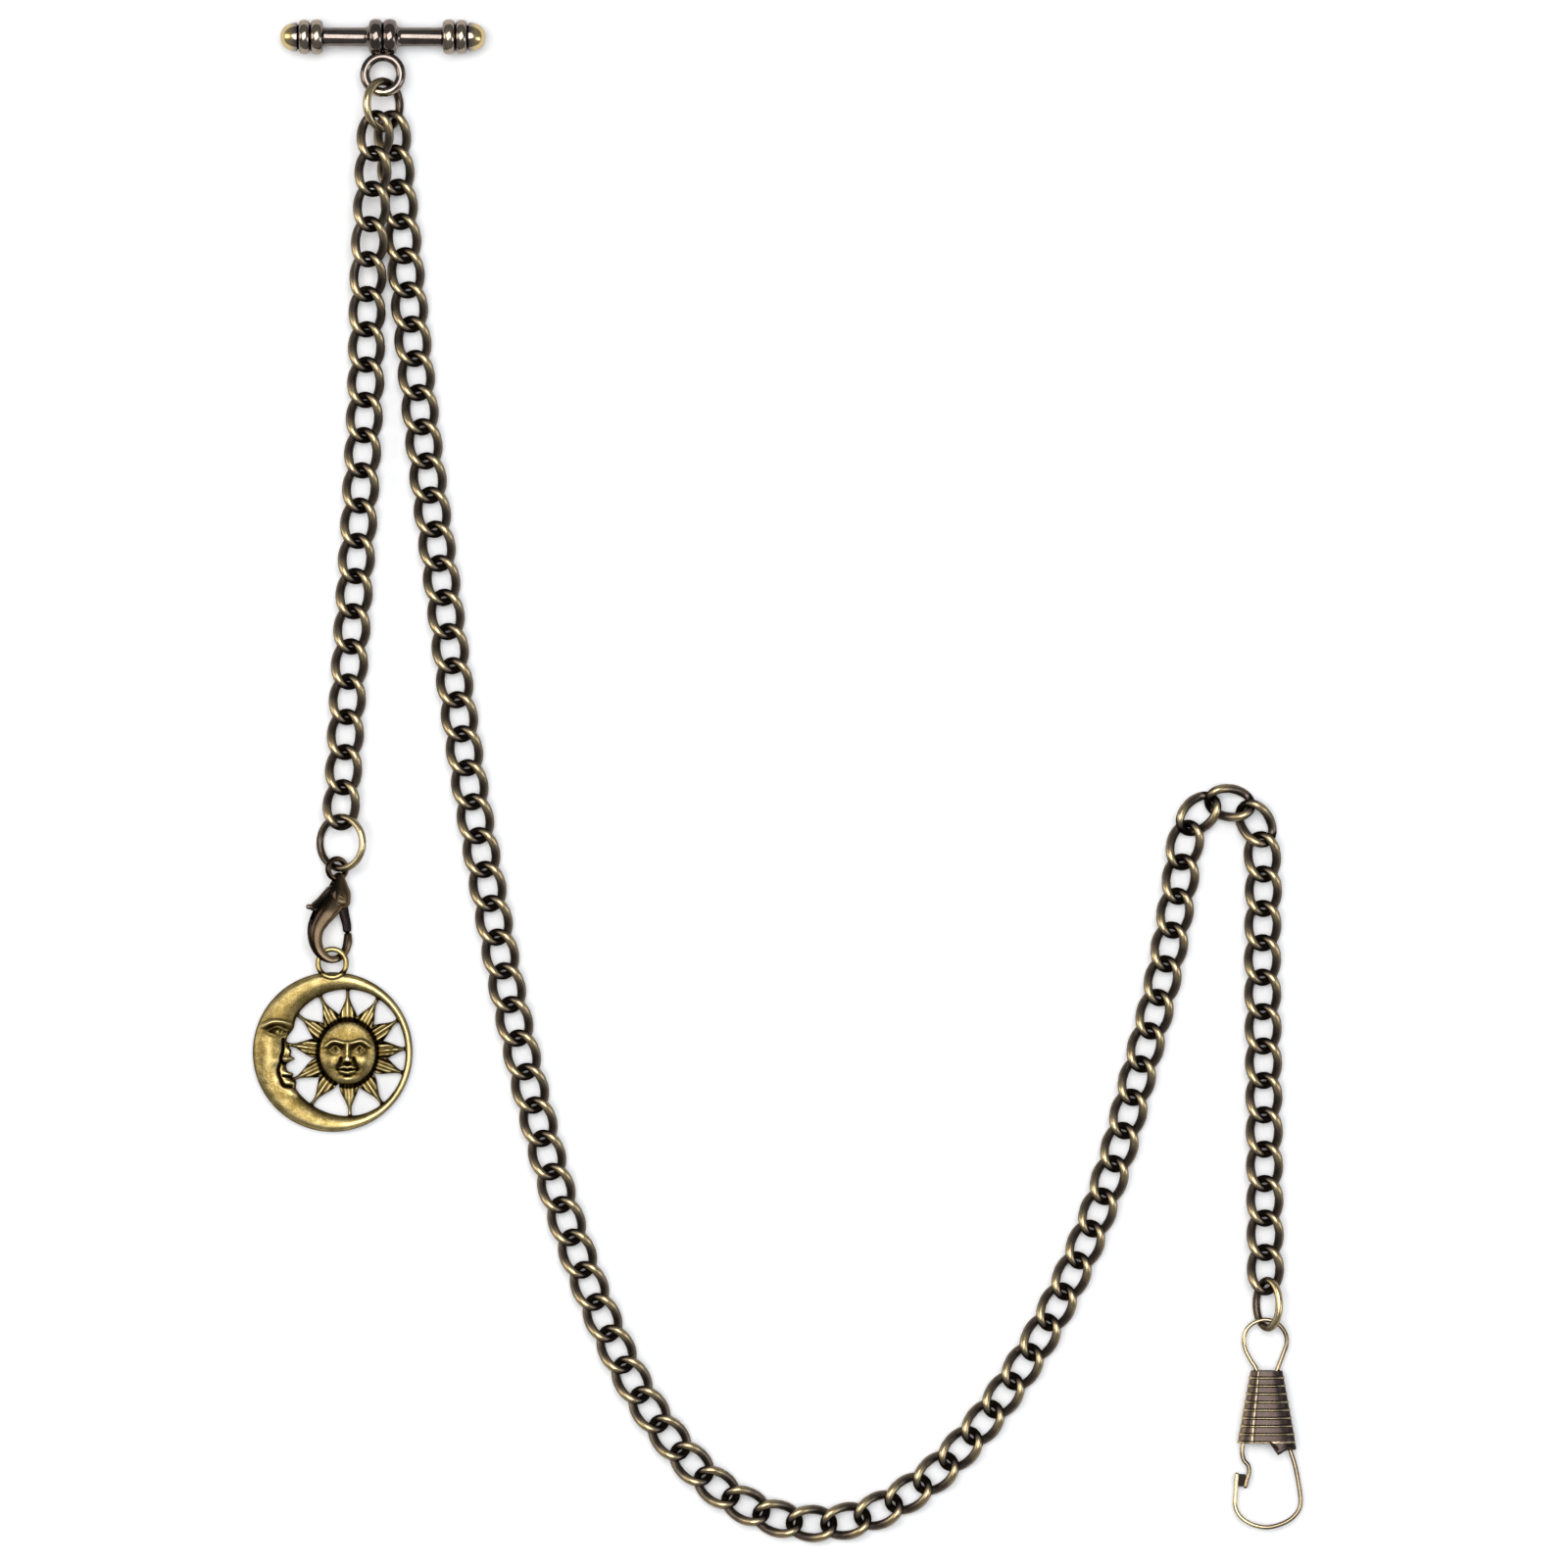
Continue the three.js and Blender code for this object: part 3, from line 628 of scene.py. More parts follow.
# The slot that the lever moves in goes through both sides of the housing.
LEVER_SLOT = {"from": (-6, 5.5), "to": (6, 10.4), "thick": 0.9}
THUMB_OUTLINE = [
    (1.6, 9.6), (0.6, 10.0), (-0.75, 9.7), (-2.09, 8.5), (-3.2, 7.65), (-3.6, 7.2), (-3.2, 6.75),
    (-2.2, 6.6), (-0.3, 7.2), (1.2, 7.6),
]
GATE_SPINE = [(1.2, 8.8, 0), (1.7, 7.4, 0), (2.1, 6.0, 0), (2.45, 4.7, 0), (2.52, 4.0, 0)]
GATE_HALF_WIDE = [0.9, 0.85, 0.72, 0.66, 0.6]
KNOB_SPINE = [(-3.3, 7.2, 0), (-3.6, 7.24, 0), (-3.8, 7.26, 0)]
RIVET_PLACE = (0.9, 8.6, 0)
# Half of the rivet, from the pin to the middle of its low domed head, as (along, radius).
RIVET_END = [(1.2, 0.34), (1.2, 0.4), (1.25, 0.36), (1.29, 0.2), (1.3, 0)]
SPRING_SPINE = [(-0.9, 9.75, 0), (0.3, 10.12, 0), (1.5, 10.0, 0), (2.1, 9.7, 0)]


def box_shape(low, high):
    """A plain box between two opposite corners, for carving."""
    corners = [(x, y, z) for x in (low[0], high[0]) for y in (low[1], high[1]) for z in (low[2], high[2])]
    faces = [(0, 1, 3, 2), (4, 6, 7, 5), (0, 4, 5, 1), (2, 3, 7, 6), (0, 2, 6, 4), (1, 5, 7, 3)]
    return np.array(corners, float), faces


def swelling_bar(points, half_wide, half_thick):
    """A bar with a squared section, whose half sizes are given at each of the points it was drawn through."""
    spine = smooth_path(points, 10)
    wide = spread(half_wide, len(spine))
    thick = spread(half_thick, len(spine))
    return tube(spine, wide, thick, sides=48, power=2.9)


def make_clasp_body():
    """The hook, the housing's cheeks and the eye in one casting, with the lever's slot through it. Its flat
    faces are painted lighter as if lit, its left-facing side has painted shade, and the hook's low end is
    lighter still."""
    hook = swelling_bar(HOOK_SPINE, HOOK_HALF_WIDE, HOOK_HALF_THICK)
    cheek = swelling_bar(CHEEK_SPINE, CHEEK_HALF_WIDE, CHEEK_HALF_THICK)
    body = mesh_piece("lobster_clasp_body", hook, CLASP, CLASP_METAL)
    eye = mesh_piece("eye", solid_ring(64, **CLASP_EYE), CLASP)
    body = combine(body, mesh_piece("cheek", cheek, CLASP), eye)
    half = LEVER_SLOT["thick"] / 2
    slot = box_shape((*LEVER_SLOT["from"], -half), (*LEVER_SLOT["to"], half))
    body = combine(body, mesh_piece("slot", slot, CLASP), carve=True)
    local = places_in(body, CLASP)
    # Painted light and shade: flat faces lit, the left-facing side in shade, and lighter at the hook's low
    # end.
    facing = soft_step(0.55, 0.9, np.abs(upness(body, CLASP)))
    facing = facing * (1 - soft_step(0.05, 0.35, -facing_along(body, CLASP, 0)))
    low_end = soft_step(2.6, -0.2, local[:, 1]) * soft_step(1.6, 0.2, local[:, 0])
    paint_wear_and_light(body, 0.06 + 0.46 * facing + 0.28 * low_end * facing)
    finish_piece(body, "clasp", "clasp_body")


def plate_shape(outline, thick, bevel=0.1):
    """A flat plate with eased edges, centred on z = 0."""
    outline = np.array(outline, float)
    inward = inset(outline, bevel)
    half = thick / 2
    layers = [(-half, inward), (bevel - half, outline), (half - bevel, outline), (half, inward)]
    verts = np.vstack([np.column_stack([ring, np.full(len(ring), z)]) for z, ring in layers])
    count = len(outline)
    faces = ring_faces(len(layers), count)
    faces.append(tuple(range(count)))
    faces.append(tuple(reversed(range(len(verts) - count, len(verts)))))
    return verts, faces


def inset(outline, distance):
    """The outline moved inwards, each corner along the mean of its two sides' normals."""
    before, after = np.roll(outline, 1, 0), np.roll(outline, -1, 0)
    way = (after - before) / np.linalg.norm(after - before, axis=1, keepdims=True)
    normal = np.column_stack([-way[:, 1], way[:, 0]])
    area = np.sum(outline[:, 0] * after[:, 1] - after[:, 0] * outline[:, 1])
    return outline + normal * distance * (1 if area > 0 else -1)


def make_clasp_lever():
    """The thumb blade with its little knob, the hub and the gate, all in the plane of the slot."""
    thumb = plate_shape(smooth_path(THUMB_OUTLINE, 6, closed=True), 0.68)
    lever = mesh_piece("clasp_lever_blade", thumb, CLASP, SHADED_LEVER_METAL)
    gate_path = smooth_path(GATE_SPINE, 8)
    gate = tube(gate_path, spread(GATE_HALF_WIDE, len(gate_path)), 0.34, sides=24, power=3.0)
    knob = tube(smooth_path(KNOB_SPINE, 6), 0.36, 0.4, sides=20)
    lever = combine(lever, mesh_piece("gate", gate, CLASP), mesh_piece("knob", knob, CLASP))
    local = places_in(lever, CLASP)
    knob_end = soft_step(-3.2, -3.6, local[:, 0])
    paint_wear_and_light(lever, 0.22 + 0.5 * knob_end + 0.3 * soft_step(0.02, 0.1, convexity(lever.data)))
    finish_piece(lever, "clasp_lever", "clasp_lever")


def make_clasp_rivet():
    """A pin with two low domed heads that sit almost flush in the housing's faces."""
    profile = [(-along, radius) for along, radius in reversed(RIVET_END)] + RIVET_END
    spot = CLASP @ Matrix.Translation(RIVET_PLACE) @ Matrix.Rotation(math.radians(90), 4, "Y")
    rivet = mesh_piece("clasp_rivet_pin", turned(profile, 28), spot, CLASP_METAL)
    paint_wear_and_light(rivet, 0.45)
    finish_piece(rivet, "clasp", "clasp_rivet")


def make_clasp_spring():
    bow = tube(smooth_path(SPRING_SPINE, 8), 0.13, 0.13, sides=12)
    spring = mesh_piece("clasp_bow_spring", bow, CLASP, SPRING_METAL)
    paint_wear_and_light(spring, 0.5)
    finish_piece(spring, "clasp", "clasp_spring")


# ---------- watch clip ----------

# The wire's middle line: round the eye, out of the sleeve, down the leg and round the hook to the catch.
CLIP_WIRE = [
    (-1.2, -3, 0), (-1.25, -1, 0), (-1.45, 0.3, 0), (-2.2, 1.5, 0), (-2.9, 2.95, 0.05), (-3.1, 4.4, 0.15),
    (-2.6, 5.8, 0.25), (-1.4, 6.7, 0.3), (0.1, 6.95, 0.3), (1.6, 6.35, 0.3), (2.55, 5.1, 0.2),
    (2.75, 3.8, 0.1), (2.2, 2.1, 0), (1.6, 0.5, 0), (1.3, -0.6, 0), (1.6, -3, 0), (2.6, -8, 0),
    (3.1, -10.4, 0), (3.85, -12.8, 0), (4.4, -15.6, 0), (4.65, -17.6, 0), (4.45, -18.9, 0),
    (3.4, -20.2, 0), (1.6, -21.1, 0), (-0.2, -21.4, 0), (-2.2, -20.9, 0), (-3.7, -19.8, 0),
    (-4.3, -18.4, 0), (-4.25, -17, 0), (-4.15, -15.5, 0), (-4.05, -14.2, 0),
]
CLIP_GATE = [
    (-2.5, -7.4, 0), (-3.0, -9.2, 0), (-3.35, -10.9, 0), (-3.1, -12.2, 0), (-2.5, -13, 0),
    (-2.4, -13.9, 0), (-2.7, -15, 0), (-2.9, -15.8, 0),
]
CLIP_HALF_WIRE = 0.31
# The catch that the gate's tip rests in: an upright plate on the hook's end and the plate under it.
CATCH_PLATES = [
    {"outline": [(-4.42, -15.9), (-4.1, -15.95), (-3.98, -14.1), (-4.3, -14.0)], "thick": 0.95, "z": -0.35},
    {"outline": [(-4.3, -15.85), (-2.8, -15.85), (-2.85, -14.2), (-4.2, -14.1)], "thick": 0.3, "z": -0.68},
]
# Half sizes at the sleeve's top and bottom edge. The lap is the step where the sheet's edges overlap, at a
# share of the half width from the middle.
SLEEVE = {
    "height": 9.9, "top": 2.2, "bottom": 4.0, "top_thick": 1.3, "bottom_thick": 1.5, "wall": 0.28,
    "ribs": 9, "rib_height": 0.2, "band_depth": 0.06, "lap_at": -0.46, "lap_height": 0.16,
}


def make_clip_wire():
    """One wire bent into the eye, the leg and the hook, with the catch on its end."""
    bent = tube(smooth_path(CLIP_WIRE, 10), CLIP_HALF_WIRE, CLIP_HALF_WIRE)
    wire = mesh_piece("bent_clip_wire", bent, CLIP, CLIP_METAL)
    plates = []
    for plate in CATCH_PLATES:
        spot = CLIP @ Matrix.Translation((0, 0, plate["z"]))
        plates.append(mesh_piece("catch", plate_shape(plate["outline"], plate["thick"], 0.06), spot))
    wire = combine(wire, *plates)
    local = places_in(wire, CLIP)
    left = soft_step(1.0, -3.5, local[:, 0])
    trough = (local[:, 2] < -0.45) & (np.abs(local[:, 1] + 15) < 1.1)
    paint_wear_and_light(wire, np.where(trough, -0.8, 0.42 + 0.4 * left))
    finish_piece(wire, "clip", "clip_wire")


def make_clip_gate():
    bent = tube(smooth_path(CLIP_GATE, 10), CLIP_HALF_WIRE, CLIP_HALF_WIRE)
    gate = mesh_piece("sprung_gate_wire", bent, CLIP, CLIP_METAL)
    local = places_in(gate, CLIP)
    paint_wear_and_light(gate, 0.35 + 0.25 * soft_step(-12, -8, local[:, 1]))
    finish_piece(gate, "clip_gate", "clip_gate")


def rib_crest(share):
    """The thin raised rings of the sleeve: 1 on each crest and 0 in the flat bands between them."""
    phase = (share * SLEEVE["ribs"]) % 1
    return np.exp(-((phase - 0.86) / 0.13) ** 2)


def sleeve_half(share):
    """The sleeve's half width at a share of its height from its top."""
    return SLEEVE["top"] + (SLEEVE["bottom"] - SLEEVE["top"]) * share


def sleeve_shape(around=160, down=240):
    """A ribbed, flattened cone of rolled sheet. Its edges overlap along a line left of the front's middle.
    The sheet is ribbed outside and smooth inside, and its two sides are one ring of rings."""
    angle = full_turn(around)
    share = np.linspace(0, 1, down)
    unit_x, unit_z = squared(np.cos(angle), 2.4), squared(np.sin(angle), 2.4)
    rib = SLEEVE["rib_height"] * rib_crest(share) - SLEEVE["band_depth"]
    half = sleeve_half(share)
    thick = SLEEVE["top_thick"] + (SLEEVE["bottom_thick"] - SLEEVE["top_thick"]) * share
    front = soft_step(-0.9, -0.3, unit_z) * soft_step(0.93, 1.0, share)[:, None]

    def side(x, z):
        y = -share[:, None] * SLEEVE["height"] - front * tab_drop(x)
        return np.stack([x, y, z], axis=-1)

    x = (half + 0.6 * rib)[:, None] * unit_x
    z = (thick + rib)[:, None] * unit_z
    left = soft_step(0.12, -0.12, x - SLEEVE["lap_at"] * half[:, None])
    outside = side(x, z + SLEEVE["lap_height"] * left * (z > 0))
    wall = SLEEVE["wall"]
    inside = side((half - wall)[:, None] * unit_x, (thick - wall)[:, None] * unit_z)
    rings = np.vstack([outside, inside[::-1]])
    return rings.reshape(-1, 3), ring_faces(2 * down, around, closed=True)


def tab_drop(across):
    """How far the sleeve's lower edge hangs down at the front: a pointed tab on the hook's side."""
    left = np.clip((across - 0.4) / 1.1, 0, 1)
    right = np.clip((across - 1.5) / 1.2, 0, 1)
    return 1.6 * left - 0.7 * right


def make_clip_sleeve():
    sleeve = mesh_piece("ribbed_sleeve", sleeve_shape(), CLIP, SLEEVE_METAL)
    local = places_in(sleeve, CLIP)
    share = np.clip(-local[:, 1] / SLEEVE["height"], 0, 1)
    # Brighter on the ribs' crests, with a painted highlight along the left edge and along the lap.
    crest = soft_step(0.45, 0.95, rib_crest(share))
    across = local[:, 0] / sleeve_half(share)
    left_edge_highlight = soft_step(-0.72, -0.95, across)
    lap_highlight = np.exp(-((across - SLEEVE["lap_at"] + 0.05) / 0.06) ** 2) * (local[:, 2] > 0)
    paint_wear_and_light(sleeve, 0.16 + 0.66 * crest + 0.4 * left_edge_highlight + 0.5 * lap_highlight)
    finish_piece(sleeve, "clip", "clip_sleeve")


# ---------- fob ----------

# u runs right and v up across the front of the fob, from the middle of the disc. The sun's oval face has its
# own middle, which the rays and the openings are drawn about. The openings end at the radius "open" from it,
# and on the right, beside the thin rim, at "rim_side". The rays' angles are in degrees.
SUN = {
    "u": 2.07, "v": -0.1, "wide": 3.9, "high": 4.35, "ray_from": 4.9, "ray_to": 8.0, "open": 8.65,
    "rim_side": 7.9,
}
SUN_RAYS = [4, 33, 61, 90, 116, 143, 172, 206, 235, 272, 304, 340]
FOB_RADIUS = 10.9
FOB_THINNEST, FOB_THICKEST = 0.8, 2.66
BAIL = {"middle": (0, 12.15, 2.25), "radii": (1.92, 1.92), "half_wide": 0.37, "half_thick": 0.36}


def blob(u, v, at, size, angle=0.0):
    """A round or oval hump, 1 at its middle."""
    turn = math.radians(angle)
    du, dv = u - at[0], v - at[1]
    along = du * math.cos(turn) + dv * math.sin(turn)
    across = -du * math.sin(turn) + dv * math.cos(turn)
    return np.exp(-(along / size[0]) ** 2 - (across / size[1]) ** 2)


def stroke(u, v, points, width):
    """A rounded ridge along a line of points, 1 on the line."""
    path = smooth_path(points, 5)
    nearest = np.full(u.shape, np.inf)
    for (au, av), (bu, bv) in zip(path[:-1], path[1:]):
        du, dv = bu - au, bv - av
        share = np.clip(((u - au) * du + (v - av) * dv) / (du * du + dv * dv), 0, 1)
        nearest = np.minimum(nearest, np.hypot(u - au - share * du, v - av - share * dv))
    return np.exp(-(nearest / width) ** 2)


def sun_polar(u, v):
    """The distance and the angle from the middle of the sun."""
    du, dv = u - SUN["u"], v - SUN["v"]
    return np.hypot(du, dv), np.arctan2(dv, du)


def moon_profile(angle):
    """How far the moon's brow, nose, lips and chin reach towards the sun, by the angle about the sun."""
    degrees = np.degrees(angle) % 360
    features = ((156, 8, 0.5), (179, 6, 0.95), (186.5, 2.8, 1.15), (201, 3, 0.65), (209.5, 3.2, 0.55))
    return sum(reach * np.exp(-((degrees - at) / size) ** 2) for at, size, reach in features)


def opening_edge(angle):
    """The radius about the sun where the openings end and the crescent and rim begin."""
    thin_rim = (SUN["open"] - SUN["rim_side"]) * np.clip(np.cos(angle), 0, 1) ** 2
    return SUN["open"] - thin_rim - moon_profile(angle)


def ray_sides(radius, angle):
    """The distance from the nearest ray's middle line, the ray's half width there, and how far out it is."""
    middles = np.radians(SUN_RAYS)
    turn = angle_between(angle[..., None], middles)
    share = np.clip((radius - SUN["ray_from"]) / (SUN["ray_to"] - SUN["ray_from"]), 0, 1)
    half = 1.34 - 1.12 * soft_step(-0.1, 0.95, share)
    return radius * np.sin(turn.min(-1)), half, share


def metal_depth(u, v):
    """About how far inside the metal a point is: below 0 in the openings and outside the disc."""
    radius, angle = sun_polar(u, v)
    side, half, _ = ray_sides(radius, angle)
    gap = soft_min(side - half, opening_edge(angle) - radius, 0.35)
    gap = np.where(radius < SUN["ray_from"] - 0.5, -1.0, gap)
    return np.minimum(FOB_RADIUS - np.hypot(u, v), -gap)


def soft_min(a, b, blend):
    """The smaller of two values, rounded where they are about as large."""
    share = np.clip(0.5 + 0.5 * (b - a) / blend, 0, 1)
    return b * (1 - share) + a * share - blend * share * (1 - share)


def face_reach(u, v):
    """How far out a point is from the middle of the sun's oval face: 1 on its edge."""
    return np.hypot((u - SUN["u"]) / SUN["wide"], (v - SUN["v"]) / SUN["high"])


def sun_relief(u, v):
    """The sun's face: a calm, even face on ordinary proportions, on a low dome."""
    x, y = u - SUN["u"], v - SUN["v"]
    z = 1.35 + 0.8 * np.clip(1 - face_reach(u, v) ** 2, 0, 1) ** 0.45
    for across in (-x, x):
        # The eye in its socket, with its lids and pupil.
        z -= 0.55 * blob(across, y, (1.62, 0.62), (1.15, 0.62), -6)
        z += 0.42 * blob(across, y, (1.62, 0.5), (0.62, 0.36))
        z += 0.16 * stroke(across, y, [(2.5, 0.4), (1.65, 0.95), (0.85, 0.4)], 0.13)
        z += 0.12 * stroke(across, y, [(2.4, 0.35), (1.62, 0.02), (0.9, 0.3)], 0.11)
        z -= 0.2 * blob(across, y, (1.6, 0.5), (0.16, 0.16))
        # The brow, the cheek, the side of the nose, the fold beside it and the corner of the mouth.
        z += 0.3 * stroke(across, y, [(3.0, 0.95), (2.0, 1.62), (0.62, 1.35)], 0.26)
        z += 0.22 * blob(across, y, (2.2, -1.1), (1.0, 1.05))
        z += 0.24 * blob(across, y, (0.46, -1.0), (0.3, 0.28))
        z -= 0.26 * stroke(across, y, [(0.85, -0.75), (1.0, -1.25), (1.3, -1.75)], 0.2)
        z -= 0.2 * blob(across, y, (1.42, -2.2), (0.26, 0.3))
    # The nose, and under it the upper lip, the lower lip, the mouth between them and the chin.
    z += 0.42 * stroke(x, y, [(0, 1.3), (0, 0.3), (0, -0.75)], 0.3)
    z += 0.34 * blob(x, y, (0, -0.92), (0.42, 0.38))
    z -= 0.3 * blob(x, y, (0, -1.42), (0.5, 0.16))
    z += 0.34 * stroke(x, y, [(-1.1, -2.15), (-0.42, -1.86), (0, -1.97), (0.42, -1.86), (1.1, -2.15)], 0.22)
    z += 0.38 * stroke(x, y, [(-0.85, -2.5), (0, -2.68), (0.85, -2.5)], 0.25)
    z -= 0.42 * stroke(x, y, [(-1.3, -2.22), (-0.5, -2.25), (0, -2.3), (0.5, -2.25), (1.3, -2.22)], 0.1)
    z -= 0.22 * blob(x, y, (0, -3.08), (0.7, 0.16))
    z += 0.22 * blob(x, y, (0, -3.62), (0.85, 0.42))
    return z


def moon_relief(u, v):
    """The moon's features on the crescent, seen from the side."""
    # The eye in its socket, with its pupil and lids, and the brow.
    z = -0.62 * blob(u, v, (-7.5, 3.0), (1.55, 0.68), -6)
    z += 0.46 * blob(u, v, (-7.25, 2.85), (0.66, 0.38), -6)
    z -= 0.22 * blob(u, v, (-7.1, 2.86), (0.17, 0.17))
    z += 0.2 * stroke(u, v, [(-8.9, 2.95), (-7.5, 3.42), (-6.2, 2.95)], 0.13)
    z += 0.16 * stroke(u, v, [(-8.7, 2.7), (-7.4, 2.3), (-6.3, 2.55)], 0.12)
    z += 0.34 * stroke(u, v, [(-9.4, 3.6), (-8.2, 4.15), (-6.9, 4.15), (-5.7, 3.8)], 0.3)
    # The nose, the fold beside it, the lips and the mouth between them.
    z += 0.34 * stroke(u, v, [(-6.0, 2.0), (-5.75, 0.6), (-5.6, -0.7)], 0.42)
    z += 0.3 * blob(u, v, (-6.25, -0.8), (0.42, 0.38))
    z -= 0.42 * stroke(u, v, [(-6.7, 1.7), (-6.75, 0.2), (-7.0, -0.9), (-6.7, -1.5), (-5.9, -1.55)], 0.17)
    z += 0.34 * blob(u, v, (-5.85, -2.75), (0.8, 0.36), -8)
    z += 0.34 * blob(u, v, (-5.7, -3.95), (0.72, 0.38), 6)
    z -= 0.46 * stroke(u, v, [(-4.7, -3.35), (-5.7, -3.36), (-6.7, -3.2)], 0.12)
    # The line round the mouth, the chin and the cheek.
    z -= 0.36 * stroke(u, v, [(-7.0, -1.2), (-7.35, -2.3), (-7.1, -3.5), (-6.6, -4.5), (-5.6, -4.7)], 0.2)
    z += 0.3 * blob(u, v, (-5.3, -5.5), (0.85, 0.65))
    z += 0.16 * blob(u, v, (-8.5, -0.6), (1.2, 2.2))
    return z


def fob_height(u, v):
    """The height of the front at each point, before its edges are rounded."""
    radius, angle = sun_polar(u, v)
    side, half, share = ray_sides(radius, angle)
    side = np.hypot(side, 0.13)
    grooves = 0.15 * np.cos(side * 2 * math.pi / (0.62 + 0.1 * np.sin(5 * angle))) * (1 - share) ** 0.7
    ray = 1.25 + 0.6 * np.clip(1 - side / (half + 0.1), 0, 1) ** 0.8 + grooves
    reach = face_reach(u, v)
    rise = soft_step(1.07, 0.98, reach)
    sun = ray * (1 - rise) + sun_relief(u, v) * rise - 0.4 * np.exp(-((reach - 1.06) / 0.045) ** 2)
    inner = radius - opening_edge(angle)
    outer = FOB_RADIUS - np.hypot(u, v)
    width = np.clip(inner + outer, 0.3, None)
    crown = np.sqrt(np.clip(1 - (2 * np.clip(inner / width, 0, 1) ** 1.3 - 1) ** 2, 0, 1))
    features = moon_relief(u, v) * soft_step(0.0, 0.8, inner + 0.5)
    crescent = 1.35 + np.clip(0.45 + 0.1 * width, 0, 0.85) * crown + features
    on_crescent = soft_step(-0.35, 0.15, inner)
    return sun * (1 - on_crescent) + crescent * on_crescent


def fob_front_height(u, v, depth):
    """The finished front: edges rolled over by about a third of a millimetre."""
    edge, roll = 0.36, 0.45
    into = np.clip(depth / edge, 0, 1)
    front = fob_height(u, v) - roll * (1 - np.sqrt(1 - (1 - into) ** 2))
    return np.clip(front, FOB_THINNEST, FOB_THICKEST)


def standing_out(u, v, reach):
    """How much higher the front is at each point than at a ring of points around it."""
    around = [fob_height(u + reach * math.cos(a), v + reach * math.sin(a)) for a in full_turn(8)]
    return fob_height(u, v) - np.mean(around, axis=0)


def cut_net(axis, depth):
    """A flat net of cells over axis x axis, cut along the line where the depth is 0. Returns the points and
    faces of the part where it is above 0."""
    inside = depth > 0
    points, known = [], {}

    def grid_point(i, k):
        if (i, k) not in known:
            known[i, k] = len(points)
            points.append((axis[i], axis[k]))
        return known[i, k]

    def edge_point(a, b):
        key = (min(a, b), max(a, b))
        if key not in known:
            (i, k), (m, n) = key
            share = depth[i, k] / (depth[i, k] - depth[m, n])
            known[key] = len(points)
            points.append((axis[i] + share * (axis[m] - axis[i]), axis[k] + share * (axis[n] - axis[k])))
        return known[key]

    faces = []
    for i in range(len(axis) - 1):
        for k in range(len(axis) - 1):
            corners = ((i, k), (i + 1, k), (i + 1, k + 1), (i, k + 1))
            if not any(inside[corner] for corner in corners):
                continue
            face = []
            for a, b in zip(corners, corners[1:] + corners[:1]):
                if inside[a]:
                    face.append(grid_point(*a))
                if inside[a] != inside[b]:
                    face.append(edge_point(a, b))
            faces.append(tuple(face))
    return np.array(points), faces


def open_edges(faces):
    """The edges that only one face has, in the order of the faces."""
    edges = {}
    for face in faces:
        for a, b in zip(face, face[1:] + face[:1]):
            if (b, a) in edges:
                del edges[b, a]
            else:
                edges[a, b] = True
    return list(edges)


def pierced_disc(cell=0.08):
    """The disc as a fine net of cells with the front's height, a flat back and straight walls."""
    size = int(math.ceil(FOB_RADIUS / cell)) + 1
    axis = np.arange(-size, size + 1) * cell
    depth = metal_depth(*np.meshgrid(axis, axis, indexing="ij"))
    least = 1e-4
    flat, faces = cut_net(axis, np.where(np.abs(depth) < least, least, depth))
    u, v = flat.T
    top = fob_front_height(u, v, np.clip(metal_depth(u, v), 0, None))
    total = len(flat)
    back = [tuple(total + i for i in reversed(face)) for face in faces]
    walls = [(b, a, total + a, total + b) for a, b in open_edges(faces)]
    verts = np.vstack([np.column_stack([flat, top]), np.column_stack([flat, np.zeros(total)])])
    return verts, faces + back + walls


def make_fob():
    """The pierced disc and its bail in one casting, rubbed bright where it stands out, with patina and
    painted shade in its hollows and painted shade on its side walls.
    """
    fob = mesh_piece("pierced_sun_moon_fob", pierced_disc(), FOB, FOB_METAL)
    fob = combine(fob, mesh_piece("bail", solid_ring(80, **BAIL), FOB))
    local = places_in(fob, FOB)
    # Painted shade with patina in the hollows and on the side walls; wear where the relief stands out.
    facing = soft_step(0.15, 0.85, np.abs(upness(fob)))
    bail_part = soft_step(10.9, 11.6, local[:, 1])
    front = (local[:, 2] > 0.5) & (bail_part < 1)
    u, v = local[front, 0], local[front, 1]
    level = np.full(len(local), 0.4)
    level[front] += 1.8 * standing_out(u, v, 0.35) + 1.3 * standing_out(u, v, 0.9)
    paint_wear_and_light(fob, (level * (1 - bail_part) + 0.66 * bail_part) * (0.35 + 0.65 * facing))
    finish_piece(fob, "fob", "sun_moon_fob")


# ---------- floor, lights and camera ----------

# The camera looks straight down at this point of the T-bar's frame and sees a square of this width there,
# both in millimetres.
VIEW_MIDDLE = Vector((54.74, -101.97, 0))
VIEW_WIDTH = 214.4
CAMERA_HEIGHT = 1.5
SENSOR = 36.0
FLOOR_GAP = 0.0001


def make_floor():
    mesh = bpy.data.meshes.new("floor")
    half = 2.0
    corners = [(-half, -half, 0), (half, -half, 0), (half, half, 0), (-half, half, 0)]
    mesh.from_pydata(corners, [], [(0, 1, 2, 3)])
    floor = add_object("floor", mesh)
    n = Nodes("pale_floor")
    tint = n.noise(0.004, detail=2.0)
    n.link(n.ramp(tint, (0.0, (0.83, 0.83, 0.835)), (1.0, (0.86, 0.86, 0.86))), n.shader.inputs["Base Color"])
    n.set(roughness=0.9)
    mesh.materials.append(n.material)
    floor.location.z = CAD_BOX[0][2] - FLOOR_GAP


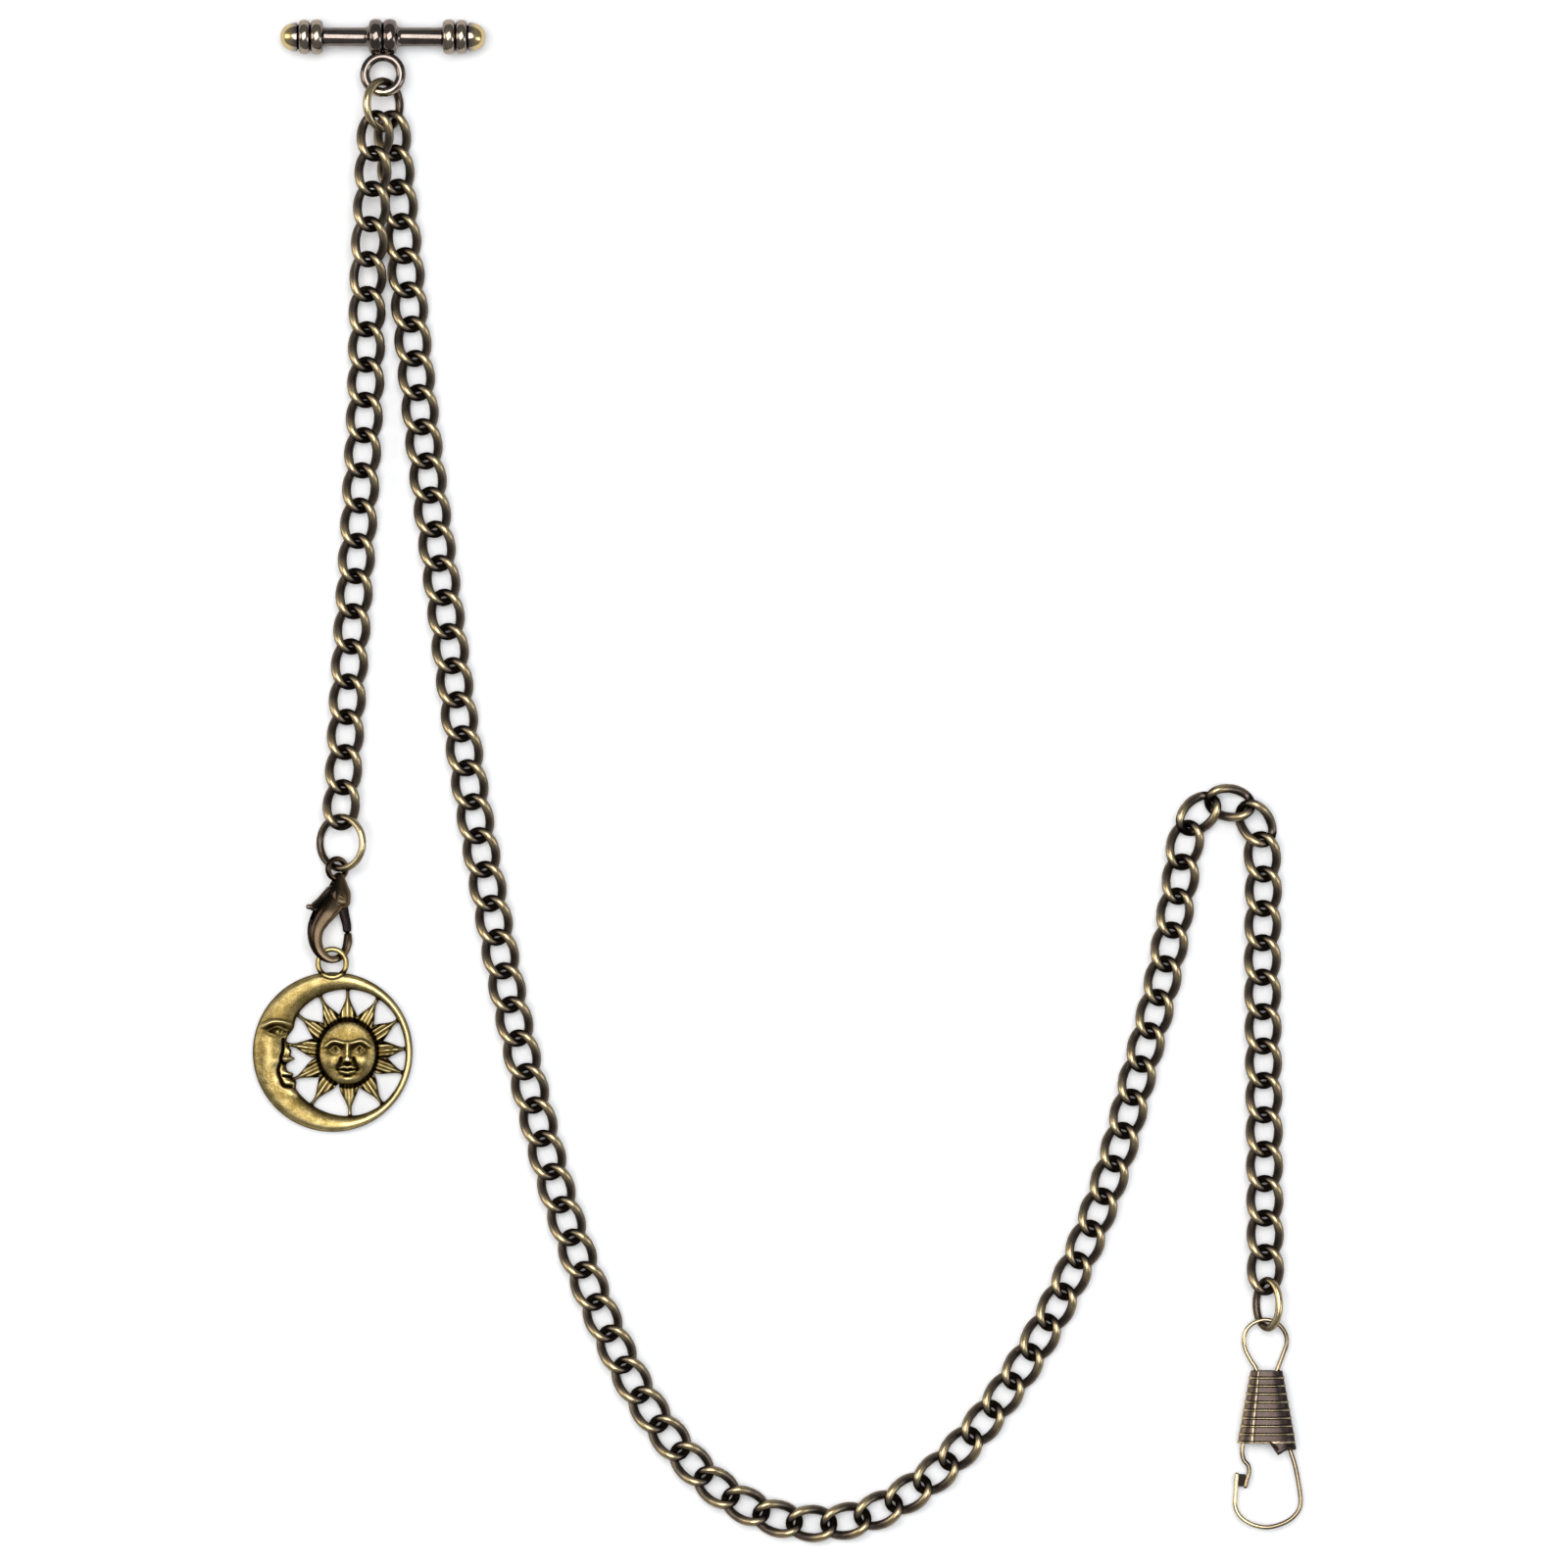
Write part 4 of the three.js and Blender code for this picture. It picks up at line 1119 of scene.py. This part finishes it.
def make_light(name, at, size, watts, colour=(1, 1, 1)):
    """A soft rectangular light that shines at the middle of the object."""
    data = bpy.data.lights.new(name, "AREA")
    data.shape = "RECTANGLE"
    data.size, data.size_y = size
    data.energy = watts
    data.color = colour
    light = add_object(name, data)
    light.location = at
    light.rotation_euler = (-Vector(at)).to_track_quat("-Z", "Y").to_euler()


def make_world():
    world = bpy.data.worlds.new("studio")
    world.use_nodes = True
    background = world.node_tree.nodes["Background"]
    background.inputs["Color"].default_value = (0.9, 0.94, 1.0, 1)
    background.inputs["Strength"].default_value = 0.26
    bpy.context.scene.world = world


def make_camera():
    data = bpy.data.cameras.new("camera")
    data.sensor_width = SENSOR
    data.lens = SENSOR * CAMERA_HEIGHT / (VIEW_WIDTH * MM)
    camera = add_object("camera", data)
    middle = (ORIGIN @ VIEW_MIDDLE) * MM
    camera.location = (middle.x, middle.y, CAMERA_HEIGHT)
    bpy.context.scene.camera = camera


make_camera()
make_floor()
make_world()
make_light("key", (-0.1, 0.2, 2.0), (1.7, 1.4), 44)
make_light("left", (-1.6, 0.2, 0.9), (0.8, 1.2), 9, (1.0, 0.93, 0.82))
make_light("right", (1.6, -0.4, 1.0), (0.6, 1.2), 7, (0.9, 0.95, 1.0))
bpy.context.scene.view_settings.view_transform = "Standard"

make_chain(SHORT_ROUTE, SHORT_GROUPS, "short_link", "short_chain_link")
make_chain(LONG_ROUTE, LONG_GROUPS, "long_links", "long_chain_link")
make_t_bar()
make_ring("connector_jump_ring", CONNECTOR, "connector_ring",
          radii=(3.2, 3.2), wire=1.15, seam_degrees=80, painted_lit_side=-1)
make_ring("drop_jump_ring", DROP_RING, "drop_ring",
          radii=(3.5, 3.5), wire=1.0, seam_degrees=203, painted_lit_side=1)
make_ring("end_jump_ring", END_RING, "end_ring",
          radii=(2.05, 3.23), wire=1.06, seam_degrees=190, painted_lit_side=1)
make_clasp_body()
make_clasp_lever()
make_clasp_rivet()
make_clasp_spring()
make_fob()
make_clip_wire()
make_clip_gate()
make_clip_sleeve()
